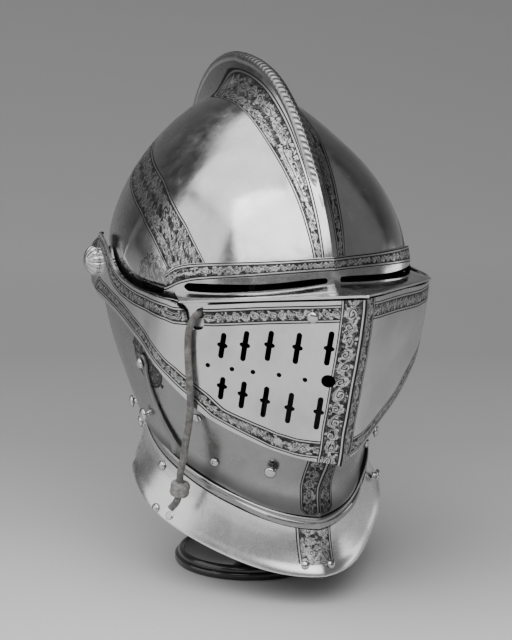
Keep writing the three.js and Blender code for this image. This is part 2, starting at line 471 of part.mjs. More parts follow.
// ---- build ---------------------------------------------------------------
const group = new THREE.Group();
const STEEL = 0xb9bcc0, DARK = 0x4a4d52, LEATHER = 0x8a7d6b, STAND = 0x2b2a2a;
function add(name, solid, color = STEEL, metal = 1, rough = 0.25) {
  const mesh = solid.simplify(FACET_TOL).getMesh();
  const g = new THREE.BufferGeometry();
  const p = new Float32Array(mesh.numVert * 3);
  for (let i = 0; i < mesh.numVert; i++) for (let k = 0; k < 3; k++) p[3 * i + k] = mesh.vertProperties[i * mesh.numProp + k];
  g.setAttribute("position", new THREE.BufferAttribute(p, 3));
  g.setIndex([...mesh.triVerts]);
  const clean = mergeVertices(g, 1e-5);
  clean.computeVertexNormals();
  const m = new THREE.Mesh(clean, new THREE.MeshStandardMaterial({ color, metalness: metal, roughness: rough }));
  m.name = name;
  group.add(m);
  return m;
}

const bothPivots = (solid) => solid.subtract(pivotDrill(1)).subtract(pivotDrill(-1));
add("skull", bothPivots(skullBlob(0).subtract(skullBlob(WALL_SKULL)).subtract(prism(FACE_OPENING)).subtract(prism(NECK_CUT))));

const brow = skullBlob(-VISOR_GAP - WALL_PLATE).subtract(skullBlob(-VISOR_GAP)).intersect(prism(BROW_OUTLINE));
const flange = plateBlob(FLANGE_ANGLES, LOWER_RIDGE, WALL_PLATE, 0, -112, 12)
  .subtract(plateBlob(FLANGE_ANGLES, LOWER_RIDGE, WALL_PLATE, WALL_PLATE, -112, 12)).intersect(prism(FLANGE_OUTLINE));
add("visor", bothPivots(brow.add(ledge()).add(flange).subtract(sight(1)).subtract(sight(-1))).subtract(drill(LACE_HOLE.r, LACE_HOLE.p, LACE_HOLE.n, 7)));

add("upper_bevor", bothPivots(breathe(plateBlob(UPPER_ANGLES, UPPER_RIDGE, UPPER_OUT, 0, -112, 45, true)
  .subtract(plateBlob(UPPER_ANGLES, UPPER_RIDGE, UPPER_OUT, WALL_PLATE, -112, 45, true)).intersect(prism(UPPER_OUTLINE)).subtract(prism(LACE_NOTCH, -140, 0)))));

const CATCH_AT = [-26.7, 133.5, -110.5], CATCH_N = unit([-0.64, 0.69, -0.34]);
add("lower_bevor", bothPivots(lowerBevor()).subtract(drill(CATCH.hole, CATCH_AT, CATCH_N, 7)).subtract(drill(1.4, [-27.4, 135.2, -104.9], CATCH_N, 7, 6)));

add("gorget_front", gorget(-108, 108, 28, 1.8, WALL_GORGET));
add("gorget_rear", gorget(98, 262, 20, GORGET_REAR, WALL_GORGET));

add("pivot_rosette_right", rosette(-1));
add("pivot_rosette_left", rosette(1));
add("hook", hook(), DARK, 1, 0.35);
add("hook_rivet", turnedAt(headProfile(3.4, "dome"), along(hookSeat(), HOOK_N, HOOK.thick + 0.5), HOOK_N, 10));
add("catch_stud", turnedAt([[CATCH.stem, -6], [CATCH.stem, 2.6], [CATCH.head, 3.2], [CATCH.head - 0.4, 4.6], [CATCH.head - 2, 5.6]], CATCH_AT, CATCH_N, 12));
for (const [name, r, kind, p, n] of HEADS) add(name, turnedAt(headProfile(r, kind), p, unit(n), 8));
const studOn = (name, at, deg) => {
  const n = unit([Math.sin(rad(deg)), 0.92 * Math.cos(rad(deg)), -0.1]);
  add(name, turnedAt(STUD, along(at, n, 0.35), n, 8));
};
studOn("pierced_stud", [-77.7, 63.6, -86.3], -88);
studOn("jaw_stud_right", lowerPoint(-113, 3.5, WALL_PLATE), -113);
studOn("nape_stud_right", gorgetPoint(-113, 0.22, GORGET_REAR), -113);
studOn("jaw_stud_left", lowerPoint(58, 16, WALL_PLATE), 58);
studOn("gorget_stud_left", gorgetPoint(66, 0.42, 1.8), 66);
add("lace", lace(), LEATHER, 0, 0.8);
add("toggle", toggle(), LEATHER, 0, 0.8);

const floorPoint = (f, h) => [0, SHIFT_F - f, h];
add("stand_foot", turned([[FOOT.r - 1, 0], [FOOT.r, 1.4], [FOOT.r, 4], [FOOT.r - 2, 5.4], [FOOT.r - 2, 7], [FOOT.r - 4.5, 8.8], [FOOT.r - 6.5, 7.2], [20, 6.2], [14, 8]],
  floorPoint(FOOT.f, 0), [0, 0, 1], 24), STAND, 0.2, 0.25);
add("stand_post", turned([[11, 8.3], [9, 14], [9, 276], [22, 288], [22, 290], [11, 296], [4, 298]], floorPoint(FOOT.f, 0), [0, 0, 1], 12), STAND, 0.2, 0.25);

export default group;
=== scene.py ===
# Looks of a close helmet of polished, etched steel on a dark turned foot. Metres, +Z up, face towards -Y.
import json
import math
import bpy
import numpy as np
from mathutils import Vector, Matrix

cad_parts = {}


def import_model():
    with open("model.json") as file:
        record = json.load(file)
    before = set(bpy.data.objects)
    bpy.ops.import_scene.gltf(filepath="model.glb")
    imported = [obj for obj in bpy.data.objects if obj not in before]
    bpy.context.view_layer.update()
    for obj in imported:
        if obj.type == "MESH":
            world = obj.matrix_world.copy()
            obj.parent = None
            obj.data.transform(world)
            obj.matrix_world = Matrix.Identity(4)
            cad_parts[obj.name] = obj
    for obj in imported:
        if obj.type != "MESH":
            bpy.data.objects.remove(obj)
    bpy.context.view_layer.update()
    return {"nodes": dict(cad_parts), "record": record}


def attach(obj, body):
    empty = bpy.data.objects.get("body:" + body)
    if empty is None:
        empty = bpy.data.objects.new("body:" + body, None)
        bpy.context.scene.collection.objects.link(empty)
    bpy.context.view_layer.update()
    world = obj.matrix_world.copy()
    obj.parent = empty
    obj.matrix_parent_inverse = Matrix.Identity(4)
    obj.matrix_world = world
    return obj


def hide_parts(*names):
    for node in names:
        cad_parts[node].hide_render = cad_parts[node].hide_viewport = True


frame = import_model()
nodes = frame["nodes"]

# ---- sizes, millimetres, helmet frame: x to the wearer's left, f forward of the pivot axis, z above it ----
PIVOT_HEIGHT, SHIFT_F = 196.0, 69.6
WALL_SKULL, WALL_PLATE, WALL_GORGET = 2.0, 1.4, 1.7
CF, CZ = 50.0, 10.0
SKULL_HALF = 87.8
COMB_WIDE, COMB_EXP = 17.0, 2.0
UPPER_LAYER = 2.1
VISOR_GAP = 0.6
NECK = dict(f=55.0, front=81.0, rear=78.0, half=68.6, z0=-79.7, slope=-0.451, point=0.05)
RIM = dict(f=58.0, front=86.0, rear=85.0, half=79.0, z0=-117.0, slope=-0.405, point=0.09, nape=14.0)
KEEL = dict(tall=8.0, span=42.0)
FOOT_F, FOOT_R = 44.4, 49.0
RECESS_CHEEK, RECESS_PIVOT = 4.4, 2.7
ARM_SWELL = 1.6
UPPER_OUT = UPPER_LAYER + WALL_PLATE
BOSS_R, BOSS_DIP, SIDE_END, TILT = 9.0, 3.0, 100.0, 0.42
GORGET_REAR, ROLL_R, ROLL_UP = -1.0, 2.4, 5.4

D2R = math.pi / 180


def smooth(a, b, v):
    t = np.clip((np.asarray(v, float) - a) / (b - a), 0, 1)
    return t * t * (3 - 2 * t)


def curve(tab, k):
    """Smooth curve through rows (key, value), level outside the ends."""
    t = np.array(tab, float)
    xs, ys = t[:, 0], t[:, 1]
    d = np.diff(ys) / np.diff(xs)
    m = np.zeros(len(xs))
    for j in range(1, len(xs) - 1):
        if d[j - 1] * d[j] > 0:
            m[j] = 2 * d[j - 1] * d[j] / (d[j - 1] + d[j])
    k = np.clip(np.asarray(k, float), xs[0], xs[-1])
    i = np.clip(np.searchsorted(xs, k, side="right") - 1, 0, len(xs) - 2)
    h = xs[i + 1] - xs[i]
    u = (k - xs[i]) / h
    u2, u3 = u * u, u * u * u
    return (2 * u3 - 3 * u2 + 1) * ys[i] + (u3 - 2 * u2 + u) * m[i] * h + (-2 * u3 + 3 * u2) * ys[i + 1] + (u3 - u2) * m[i + 1] * h


def world(p):
    p = np.asarray(p, float)
    return np.stack([p[..., 0], SHIFT_F - p[..., 1], p[..., 2] + PIVOT_HEIGHT], -1) / 1000


def local(w):
    w = np.asarray(w, float) * 1000
    return np.stack([w[..., 0], SHIFT_F - w[..., 1], w[..., 2] - PIVOT_HEIGHT], -1)


# ---- meshes ---------------------------------------------------------------
def mesh_object(name, verts, faces):
    me = bpy.data.meshes.new(name)
    me.from_pydata([tuple(v) for v in verts], [], [tuple(int(i) for i in q) for q in faces])
    me.validate()
    me.update()
    ob = bpy.data.objects.new(name, me)
    bpy.context.scene.collection.objects.link(ob)
    # outward faces
    co = np.array(verts)
    vol = 0.0
    for q in faces:
        a = co[q[0]]
        for k in range(1, len(q) - 1):
            vol += np.dot(a, np.cross(co[q[k]], co[q[k + 1]]))
    if vol < 0:
        me.flip_normals()
    return ob


def skin(name, grid, first, last):
    """Closed skin: grid[j, i] rings, with an end point before the first and after the last ring."""
    nv, nu = grid.shape[:2]
    verts = np.concatenate([[first], grid.reshape(-1, 3), [last]])
    i = np.arange(nu)
    k = (i + 1) % nu
    faces = [(0, 1 + a, 1 + b) for a, b in zip(i, k)]
    for j in range(nv - 1):
        o = 1 + j * nu
        faces += [(o + a, o + nu + a, o + nu + b, o + b) for a, b in zip(i, k)]
    o = 1 + (nv - 1) * nu
    end = len(verts) - 1
    faces += [(end, o + b, o + a) for a, b in zip(i, k)]
    return mesh_object(name, world(verts), faces)


def loft(name, loops):
    loops = np.asarray(loops, float)
    return skin(name, loops, loops[0].mean(0), loops[-1].mean(0))


def prism(name, poly, x0=-140.0, x1=140.0):
    n = len(poly)
    verts = [(x0, f, z) for f, z in poly] + [(x1, f, z) for f, z in poly]
    faces = [tuple(range(n)), tuple(range(2 * n - 1, n - 1, -1))]
    faces += [(i, n + i, n + (i + 1) % n, (i + 1) % n) for i in range(n)]
    ob = mesh_object(name, world(verts), faces)
    mod = ob.modifiers.new("t", "TRIANGULATE")
    bake(ob)
    return ob


def bake(ob):
    dg = bpy.context.evaluated_depsgraph_get()
    me = bpy.data.meshes.new_from_object(ob.evaluated_get(dg))
    old = ob.data
    ob.modifiers.clear()
    ob.data = me
    bpy.data.meshes.remove(old)
    return ob


def combine(ob, other, how, keep=False):
    mod = ob.modifiers.new("b", "BOOLEAN")
    mod.operation = how
    mod.solver = "MANIFOLD"
    mod.object = other
    bake(ob)
    if not keep:
        bpy.data.objects.remove(other)
    return ob


def cut(ob, other):
    return combine(ob, other, "DIFFERENCE")


def meet(ob, other):
    return combine(ob, other, "INTERSECT")


def fuse(ob, other):
    return combine(ob, other, "UNION")


def turned(name, profile, p, n, seg=32, wave=None):
    """Turned piece in helmet coordinates: rows (radius, along), from point p out along n."""
    n = Vector((n[0], n[1], n[2])).normalized()
    q = Vector((0, 0, 1)).rotation_difference(n)
    rings = []
    for row, (r, h) in enumerate(profile):
        ring = []
        for i in range(seg):
            a = 2 * math.pi * i / seg
            rr = r * (wave(a, row) if wave else 1)
            v = q @ Vector((rr * math.cos(a), rr * math.sin(a), h))
            ring.append((p[0] + v.x, p[1] + v.y, p[2] + v.z))
        rings.append(ring)
    rings = np.array(rings)
    a, b = profile[0][1], profile[-1][1]
    return skin(name, rings, np.array(p) + np.array(n) * a, np.array(p) + np.array(n) * b)


def drill(r, p, n, reach, seg=28):
    return turned("drill", [(r, -reach), (r, reach)], p, n, seg)


def spline(poly, per=6, keep=()):
    """Rounded outline through the points, corners in keep stay sharp."""
    p = np.array(poly, float)
    n = len(p)
    out = []
    for i in range(n):
        p0, p1, p2, p3 = p[(i - 1) % n], p[i], p[(i + 1) % n], p[(i + 2) % n]
        if np.linalg.norm(p2 - p1) > 60 or i in keep:
            out.append(p1)
            continue
        la, lb, lc = np.linalg.norm(p1 - p0), np.linalg.norm(p2 - p1), np.linalg.norm(p3 - p2)
        m1 = (p2 - p0) / (la + lb) * lb if (i not in keep and la < 60) else (p2 - p1)
        m2 = (p3 - p1) / (lb + lc) * lb if ((i + 1) % n not in keep and lc < 60) else (p2 - p1)
        for t in np.linspace(0, 1, per, endpoint=False):
            t2, t3 = t * t, t * t * t
            out.append((2 * t3 - 3 * t2 + 1) * p1 + (t3 - 2 * t2 + t) * m1 + (-2 * t3 + 3 * t2) * p2 + (t3 - t2) * m2)
    return [tuple(q) for q in out]


# ---- skull ----------------------------------------------------------------
SKULL_R = [(-30, 124), (-15, 113), (0, 108), (15, 103.5), (30, 99.5), (45, 97), (60, 96.5), (75, 98), (90, 100), (105, 102), (120, 104),
           (135, 107), (150, 111), (165, 115), (180, 117.5), (195, 116.5), (210, 111), (222, 107), (232, 109), (241, 118), (250, 127),
           (262, 140), (280, 150), (300, 146), (330, 124)]
COMB_H = [(-8, 1.5), (6, 4), (14, 4.5), (21, 5), (31, 6.5), (45, 10), (60, 15), (75, 18.5), (90, 20), (105, 22.5), (117, 23.5), (125, 21.5),
          (137, 15), (150, 8), (165, 3.5), (178, 0), (300, 0)]


def skull_at(deg, x, inset):
    deg, x = np.broadcast_arrays(np.asarray(deg, float), np.asarray(x, float))
    half = SKULL_HALF - inset
    a = deg * D2R
    up = np.clip(np.sin(a), 0, 1)
    fore = smooth(0.2, 1, np.cos(a))
    p = 1.95 - 0.45 * up + 0.3 * fore
    q = 1.95 - 0.35 * up + 0.3 * fore
    R = curve(SKULL_R, deg) - inset
    t = np.clip(np.abs(x) / half, 0, 1)
    r = R * np.power(np.maximum(1 - np.power(t, q), 0), 1 / p)
    if inset <= 0:
        w = np.clip(1 - np.abs(x) / COMB_WIDE, 0, 1)
        r = r + curve(COMB_H, deg) * np.power(w, COMB_EXP)
    f, z = CF + r * np.cos(a), CZ + r * np.sin(a)
    if inset >= 0:
        cheek = RECESS_CHEEK * smooth(-2, 8, -z) * smooth(-75, -52, z) * smooth(-40, -12, f)
        pivot = RECESS_PIVOT * (1 - smooth(10, 20, np.hypot(f, z)))
        x = x * (1 - np.maximum(cheek, pivot) / SKULL_HALF)
    else:
        x = x * (1 + ARM_SWELL * smooth(12, 45, f) * (1 - smooth(66, 105, f)) / SKULL_HALF)
    return np.stack([x, f, z], -1)


def both_sides(stops):
    s = np.array(stops, float)
    return np.concatenate([-s[::-1], [0.0], s])


def skull_blob(name, inset, angles, fine):
    half = SKULL_HALF - inset
    mids = [0.4, 0.9, 1.5, 2.2, 3.1, 4.2, 5.5, 7.2, 9.2, 11.5, 14, 17] if inset <= 0 else [6, 17]
    rest = np.linspace(17, 80, fine + 1)[1:]
    edge = [82, 84, 85.4, 86.4, 87.1, 87.6]
    xs = both_sides(list(mids) + [v * half / SKULL_HALF for v in list(rest) + edge])
    g = skull_at(angles[None, :], xs[:, None], inset)
    return skin(name, g, skull_at(0.0, -half, inset), skull_at(0.0, half, inset))


FACE_OPENING = [(300, 17), (118, 15.5), (110, 8), (105, -5), (98, -10), (60, -10), (40, -14), (24, -18), (13, -28), (9, -50), (8, -160), (300, -160)]
NECK_CUT = [(-200, NECK["z0"] - 200 * -NECK["slope"]), (300, NECK["z0"] + 300 * NECK["slope"]), (300, -330), (-200, -330)]

# ---- pivoted plates -------------------------------------------------------
SIDE_X = [(0, 84.2), (9, 84.4), (14, 85.5), (20, 86.7), (28, 88.0), (50, 89.8), (80, 89.8), (100, 88.3)]
PROW = [(0, 1), (0.1, 0.987), (0.2, 0.952), (0.28, 0.895), (0.36, 0.812), (0.5, 0.645), (0.68, 0.405), (0.84, 0.203), (1, 0)]
UPPER_RIDGE = [(-200, 120), (-110, 150), (-70, 190), (-46, 203), (-36, 203), (-29.5, 200.5), (-24, 196.2), (-16.4, 195.5), (-10.5, 197.5),
               (-4.3, 201), (1.2, 204), (10, 204), (30, 190), (90, 150), (160, 120)]
LOWER_RIDGE = [(-200, 110), (-110, 140), (-75, 168), (-58, 184), (-50, 192.5), (-46, 197), (-40, 200), (-35, 199.5), (-31, 196.5), (-27, 192.5),
               (-20, 190.5), (-10, 190), (10, 190), (30, 180), (90, 140), (160, 110)]


HUG_NEAR = [(125, 0), (150, 0.42), (200, 0.42), (225, 0)]
HUG_FAR = [(52, 0), (68, 0.32), (90, 0.75), (120, 0.75), (150, 0.9), (180, 0.9), (210, 0.6), (240, 0.3), (260, 0)]


def plate_x(r, deg, ridge, layer, low, high, hug=False):
    base = curve(SIDE_X, 0.0) + layer
    side = curve(SIDE_X, r) + layer
    fore = smooth(low - 45, low, deg) * (1 - smooth(high, high + 45, deg))
    if hug:
        turn = np.where(deg < -90, deg + 360, deg)
        drop = curve(HUG_NEAR, turn) * np.clip(r - 4, 0, 7) + curve(HUG_FAR, turn) * np.maximum(0, r - 11)
        side = base * (1 - fore) + side * fore - drop
    else:
        side = (base - TILT * np.maximum(np.clip(r - BOSS_DIP, 0, BOSS_R - BOSS_DIP), r - BOSS_R)) * (1 - fore) + side * fore
    x = np.where(r > SIDE_END, side * curve(PROW, (r - SIDE_END) / (ridge - SIDE_END)), side)
    return np.maximum(0.4, x)


def plate_blob(name, angles, ridge_tab, layer, inset, low, high, fine=1.0, hug=False):
    stations = np.concatenate([[3, 6, 9, 11.5, 14, 17, 20, 24, 28], np.linspace(34, 100, int(14 * fine))])
    shares = np.linspace(0, 1, int(40 * fine) + 1)[1:-1]
    ridge = curve(ridge_tab, angles) - inset * 1.3
    rows = []
    for r in stations:
        rows.append(np.stack([-plate_x(np.full_like(angles, r), angles, ridge, layer - inset, low, high, hug), r * np.cos(angles * D2R), r * np.sin(angles * D2R)], -1))
    for s in shares:
        r = SIDE_END + s * (ridge - SIDE_END)
        rows.append(np.stack([-plate_x(r, angles, ridge, layer - inset, low, high, hug), r * np.cos(angles * D2R), r * np.sin(angles * D2R)], -1))
    mid = np.stack([0 * ridge, ridge * np.cos(angles * D2R), ridge * np.sin(angles * D2R)], -1)
    far = [np.stack([-q[:, 0], q[:, 1], q[:, 2]], -1) for q in rows[::-1]]
    pole = float(plate_x(np.array(0.0), np.array(0.0), np.array(200.0), layer - inset, low, high))
    return skin(name, np.array(rows + [mid] + far), np.array([-pole, 0, 0]), np.array([pole, 0, 0]))


UPPER_OUTLINE = [(205.5, 4.3), (160, -1.4), (140, -4.4), (130, -5.2), (123, -5), (118, -4), (91, -3.4), (74, -2.4), (60, -0.8), (48, 2.8), (40, 7.8), (33, 13.5),
                 (26, 18.5), (16, 20.8), (6, 18.4), (-3, 13.6), (-9, 7.6), (-11.4, 0), (-9.6, -7.4), (-4.4, -13.2), (4, -17), (14, -19.6), (32, -21.2),
                 (48, -23.8), (64, -28), (80, -33.2), (93, -39.6), (105, -48.2), (114, -59), (123, -75), (136, -88), (147, -95.5), (160, -100), (176, -102.5),
                 (230, -111), (230, 8)]
LACE_NOTCH = [(138.6, 4), (138, -6.2), (137.5, -8.5), (136.8, -17), (135, -19.8), (130.5, -19.8), (128.8, -17), (128.2, -10), (126.4, -7), (123, -4.4), (122, 4)]
LOWER_OUTLINE = [(-8.2, 2), (-6, 5.8), (-2, 8), (3, 7.8), (7, 5), (10, 1.6), (16, -1.6), (60, -16.5), (84, -26), (100, -36), (112, -49), (120, -59), (136, -71.5),
                 (160, -83.5), (176, -88.5), (230, -105), (230, -190), (-1, -90), (-3, -78), (-4, -60), (-5, -30), (-8.6, -10), (-9, -3)]
FLANGE_OUTLINE = [(103, -3.6), (123, -3.8), (206, 6.6), (206, -9), (143, -17), (137, -23.5), (108, -23.5), (103, -18)]
BROW_OUTLINE = [(240, 30), (163, 22), (140, 19.8), (119, 16.8), (108, 13.2), (103.5, 9.5), (102, 4), (100.5, -3), (97, -4.8), (88, -4.8), (74, -3.8), (60, -2.2),
                (48, 1.4), (40, 6.2), (33, 11.8), (27, 13.9), (21, 11.4), (15.5, 8), (10, 6.2), (4, 5.6), (-2.8, 4.5), (-5.1, 0), (-3.6, -3.7), (0, -5.6), (5, -4.2), (9, 1.2), (20, -0.4), (30, -3.4),
                (45, -9.4), (60, -13.6), (92, -15), (101, -12), (108, -6.6), (125, -4), (150, 0.5), (168, 4.2), (240, 12)]


def edge_z(f):
    return -3.3 + 10.5 * (f - 123) / 82.5


def prow_f(x, ridge, layer):
    a, b = SIDE_END, ridge
    for _ in range(40):
        m = (a + b) / 2
        if plate_x(np.array(m), np.array(0.0), np.array(ridge), layer, -112, 30) > x:
            a = m
        else:
            b = m
    return a


def ledge(name):
    loops = []
    out, tip = UPPER_OUT + 1.2, 206.0
    qs = np.concatenate([np.linspace(-1, -0.03, 60), [0.0], np.linspace(0.03, 1, 60)])
    for q in qs:
        xo, xi = 84.5 * q, 79 * q
        fo = tip if abs(q) < 1e-6 else prow_f(abs(xo), tip, out)
        zo = edge_z(fo)
        zr = 6.2 - 6.8 * abs(q)
        fi = float(skull_at(0.0, xi, -VISOR_GAP - 0.6)[1])
        mid = 0.5
        xm, fm, zm = xi + (xo - xi) * mid, fi + (fo - fi) * mid, zr + (zo - zr) * mid
        loops.append([(xi, fi, zr), (xm, fm, zm - 0.15), (xo - 0.4 * np.sign(q), fo - 0.6, zo + 0.05), (xo, fo, zo - 0.35), (xo, fo, zo - 1.45), (xo - 0.4 * np.sign(q), fo - 0.6, zo - 1.8), (xi, fi, zr - 1.9)])
    return loft(name, loops)


SIGHT = [(-74, 0.4), (-76, 2.8), (-74, 5.4), (-40, 7.6), (-5.4, 9.9), (-4, 8.3), (-5.4, 6.6), (-40, 3.8)]


def sight(mirror):
    poly = [(mirror * x, z) for x, z in spline(SIGHT, 6)]
    return loft("sight", [[(x, f, z) for x, z in poly] for f in (70.0, 230.0)])


# ---- jaw plate ------------------------------------------------------------
def keel(deg):
    return KEEL["tall"] * np.power(np.clip(1 - np.abs(deg) / KEEL["span"], 0, 1), 1.15)


def neck_reach(deg, off):
    c, s = np.cos(deg * D2R), np.sin(deg * D2R)
    rf = np.where(c > 0, NECK["front"], NECK["rear"]) + off
    rx = NECK["half"] + off
    k = 1 / np.hypot(c / rf, s / rx)
    return np.where(c > 0, k * (1 - NECK["point"] * np.sin(2 * deg * D2R) ** 2), k)


def lower_at(deg, d, layer):
    deg, d = np.broadcast_arrays(np.asarray(deg, float), np.asarray(d, float))
    c, s = np.cos(deg * D2R), np.abs(np.sin(deg * D2R))

    def at(k):
        f = NECK["f"] + k * c
        return k * s, f, NECK["z0"] + NECK["slope"] * f + d

    a, b = np.full(deg.shape, 20.0), np.full(deg.shape, 190.0)
    for _ in range(40):
        m = (a + b) / 2
        x, f, z = at(m)
        r, ang = np.hypot(f, z), np.arctan2(z, f) / D2R
        ang = np.where(ang > 170, ang - 360, ang)
        ridge = curve(LOWER_RIDGE, ang) - (WALL_PLATE - layer) * 1.3
        inside = (r < ridge) & (x < plate_x(r, ang, ridge, layer, -80, 100))
        a, b = np.where(inside, m, a), np.where(inside, b, m)
    w = np.power(np.clip(d / 80, 0, 1), 0.62)
    neck = neck_reach(deg, layer)
    x, f, z = at(neck + (a - neck) * w + keel(deg) * (1 - smooth(0, 24, d)))
    return np.stack([np.where(deg < 0, -x, x), f, z], -1)


def lower_bevor(name):
    cols = np.concatenate([np.linspace(-136, -20, 84), np.linspace(-19, -1, 22), [0], np.linspace(1, 19, 22), np.linspace(20, 136, 84)])
    rows = np.array([-3, -1.5, 0, 1, 2, 3.5, 5, 7, 9.5, 12, 15, 18, 22, 26, 31, 36, 42, 48, 54, 60, 66, 72, 78, 84, 89.5])
    few = rows[::2][::-1]
    outer = lower_at(cols[:, None], rows[None, :], WALL_PLATE)
    inner = lower_at(cols[:, None], few[None, :], 0.0)
    return loft(name, np.concatenate([outer, inner], 1))


# ---- neck and gorget ------------------------------------------------------
FLARE = [(0, 0), (0.25, 0.12), (0.5, 0.34), (0.75, 0.64), (1, 1)]


def gorget_at(deg, k, off):
    deg, k = np.broadcast_arrays(np.asarray(deg, float), np.asarray(k, float))
    a = deg * D2R
    c, s = np.cos(a), np.sin(a)
    n_rf = np.where(c > 0, NECK["front"], NECK["rear"]) + off
    m_rf = np.where(c > 0, RIM["front"], RIM["rear"]) + off
    w = curve(FLARE, k)
    mix = lambda p, q, t: p + (q - p) * t
    ridge = keel(deg)
    thin = np.where(c > 0, 1 - mix(NECK["point"], RIM["point"], w) * np.sin(2 * a) ** 2, 1)
    x = mix(NECK["half"] + off, RIM["half"] + off, w) * s * thin
    f = mix(NECK["f"], RIM["f"], w) + (mix(n_rf, m_rf, w) * thin + ridge) * c
    f_n, f_m = NECK["f"] + (n_rf + ridge) * c, RIM["f"] + m_rf * c
    z_n, z_m = NECK["z0"] + NECK["slope"] * f_n, RIM["z0"] + RIM["slope"] * f_m - RIM["nape"] * smooth(0.45, 0.8, -c)
    return np.stack([x, f, mix(z_n - 3.6, z_m, k)], -1)


def gorget(name, start, stop, steps, off, wall):
    degs = np.linspace(start, stop, steps)
    ks = np.concatenate([[0, 0.01], np.linspace(0.04, 0.96, 22), [0.99, 1.0]])
    out, inn = gorget_at(degs[:, None], ks[None, :], off), gorget_at(degs[:, None], ks[::-1][::2][None, :], off - wall)
    return loft(name, np.concatenate([out, inn], 1))


def neck_roll(name):
    degs = np.linspace(-104, 104, 170)
    base = gorget_at(degs, 0.0, 0.2)
    b = np.linspace(0, 2 * math.pi, 16, endpoint=False)
    a = degs[:, None] * D2R
    x = base[:, None, 0] + ROLL_R * np.cos(b)[None] * np.sin(a)
    f = base[:, None, 1] + ROLL_R * np.cos(b)[None] * np.cos(a)
    z = base[:, None, 2] + ROLL_UP + ROLL_R * np.sin(b)[None] + 0 * a
    return loft(name, np.stack([x, f, z], -1))


# ---- build the plates -----------------------------------------------------
ALL_ROUND = np.arange(-30, 330, 1.5)
HALF_ROUND = np.arange(-30, 330, 3.0)
FRONT_ROUND = np.concatenate([np.arange(-30, 40, 1.0), np.arange(40, 150, 10.0), np.arange(150, 250, 2.0), np.arange(250, 330, 10.0)])


def pivots(ob):
    for side in (-1, 1):
        cut(ob, drill(2.5, (side * 84, 0, 0), (1, 0, 0), 12))
    return ob


plates = {}

sk = skull_blob("skull_look", 0.0, ALL_ROUND, 32)
cut(sk, skull_blob("in", WALL_SKULL, HALF_ROUND, 20))
cut(sk, prism("face", FACE_OPENING))
cut(sk, prism("neck", NECK_CUT))
plates["skull"] = pivots(sk)

vi = skull_blob("visor_look", -VISOR_GAP - WALL_PLATE, FRONT_ROUND, 44)
cut(vi, skull_blob("in", -VISOR_GAP, FRONT_ROUND, 30))
meet(vi, prism("brow", spline(BROW_OUTLINE, 5)))
fuse(vi, ledge("ledge"))
FL_ANG = np.concatenate([[-180, -120, -60], np.arange(-32, 22, 1.5), [30, 60, 120]])
fl = plate_blob("flange", FL_ANG, LOWER_RIDGE, WALL_PLATE, 0.0, -112, 12)
cut(fl, plate_blob("in", FL_ANG, LOWER_RIDGE, WALL_PLATE, WALL_PLATE, -112, 12))
meet(fl, prism("fl", FLANGE_OUTLINE))
fuse(vi, fl)
cut(vi, sight(1))
cut(vi, sight(-1))
LACE_HOLE = ((-73.4, 133.2, -10.5), (-0.7, 0.71, 0.05))
cut(vi, drill(3.0, LACE_HOLE[0], LACE_HOLE[1], 7))
plates["visor"] = pivots(vi)

UP_ANG = np.concatenate([np.arange(-180, -60, 6.0), np.arange(-60, 20, 1.0), np.arange(20, 180, 5.0)])
up = plate_blob("upper_bevor_look", UP_ANG, UPPER_RIDGE, UPPER_OUT, 0.0, -112, 45, 1.6, True)
cut(up, plate_blob("in", UP_ANG, UPPER_RIDGE, UPPER_OUT, WALL_PLATE, -112, 45, 1.0, True))
meet(up, prism("upo", spline(UPPER_OUTLINE, 5)))
cut(up, prism("notch", spline(LACE_NOTCH, 5, keep=(0, 10)), -140.0, 0.0))
BN = np.array([-0.64, 0.73, -0.24]); BN /= np.linalg.norm(BN)
BD = np.array([0, -0.31, -0.943]); BD /= np.linalg.norm(BD)
BS = np.cross(BD, BN); BS /= np.linalg.norm(BS)
SLOTS = [(-62.9, 142.2, -28.6, 8.2, 8.8), (-52.6, 151.3, -27.7, 9.4, 10.7), (-41.3, 160.9, -26.8, 9.4, 10.7), (-28.5, 171.8, -27.3, 9.7, 11),
         (-14.5, 184.4, -26.9, 11.3, 11.3), (-60.5, 136, -54.8, 6.3, 9.4), (-50.3, 143.1, -59.2, 8.8, 10), (-39.4, 150.8, -62.8, 10, 11.3),
         (-27.7, 159.8, -66.3, 10.6, 10.6), (-14.3, 171.1, -67.8, 10.3, 12.2)]
SMALL_HOLES = [(-68.3, 133.2, -41.9), (-57.1, 142.8, -43.4), (-47.1, 150.6, -44.5), (-35, 160.5, -45.5), (-22.9, 170.3, -47.5)]
BIG_HOLE = (-12.4, 179.3, -47.8)
for x, f, z, u, d in SLOTS:
    h, a, t = 1.65, 3.2, 1.5
    turn = np.linspace(0, math.pi, 7)
    knob = [(h, t), (0.75 * a, 0.85 * t), (a, 0.35 * t), (a, -0.35 * t), (0.75 * a, -0.85 * t), (h, -t)]
    poly = [(h * math.cos(q), d - h + h * math.sin(q)) for q in turn] + [(-x1, y1) for x1, y1 in knob]
    poly += [(-h * math.cos(q), h - u - h * math.sin(q)) for q in turn] + knob[::-1]
    poly = poly[::-1]
    cut(up, loft("slot", [[np.array([x, f, z]) + BS * s + BD * b + BN * e for s, b in poly] for e in (-8, 8)]))
for p in SMALL_HOLES:
    cut(up, drill(1.5, p, BN, 8, 16))
cut(up, drill(4.2, BIG_HOLE, BN, 8, 32))
plates["upper_bevor"] = pivots(up)

lw = lower_bevor("lower_bevor_look")
meet(lw, prism("lwo", spline(LOWER_OUTLINE, 5)))
fuse(lw, neck_roll("roll"))
CATCH_AT, CATCH_N = (-26.7, 133.5, -110.5), np.array([-0.64, 0.69, -0.34])
cut(lw, drill(2.5, CATCH_AT, CATCH_N, 7))
cut(lw, drill(1.4, (-27.4, 135.2, -104.9), CATCH_N, 7, 16))
plates["lower_bevor"] = pivots(lw)

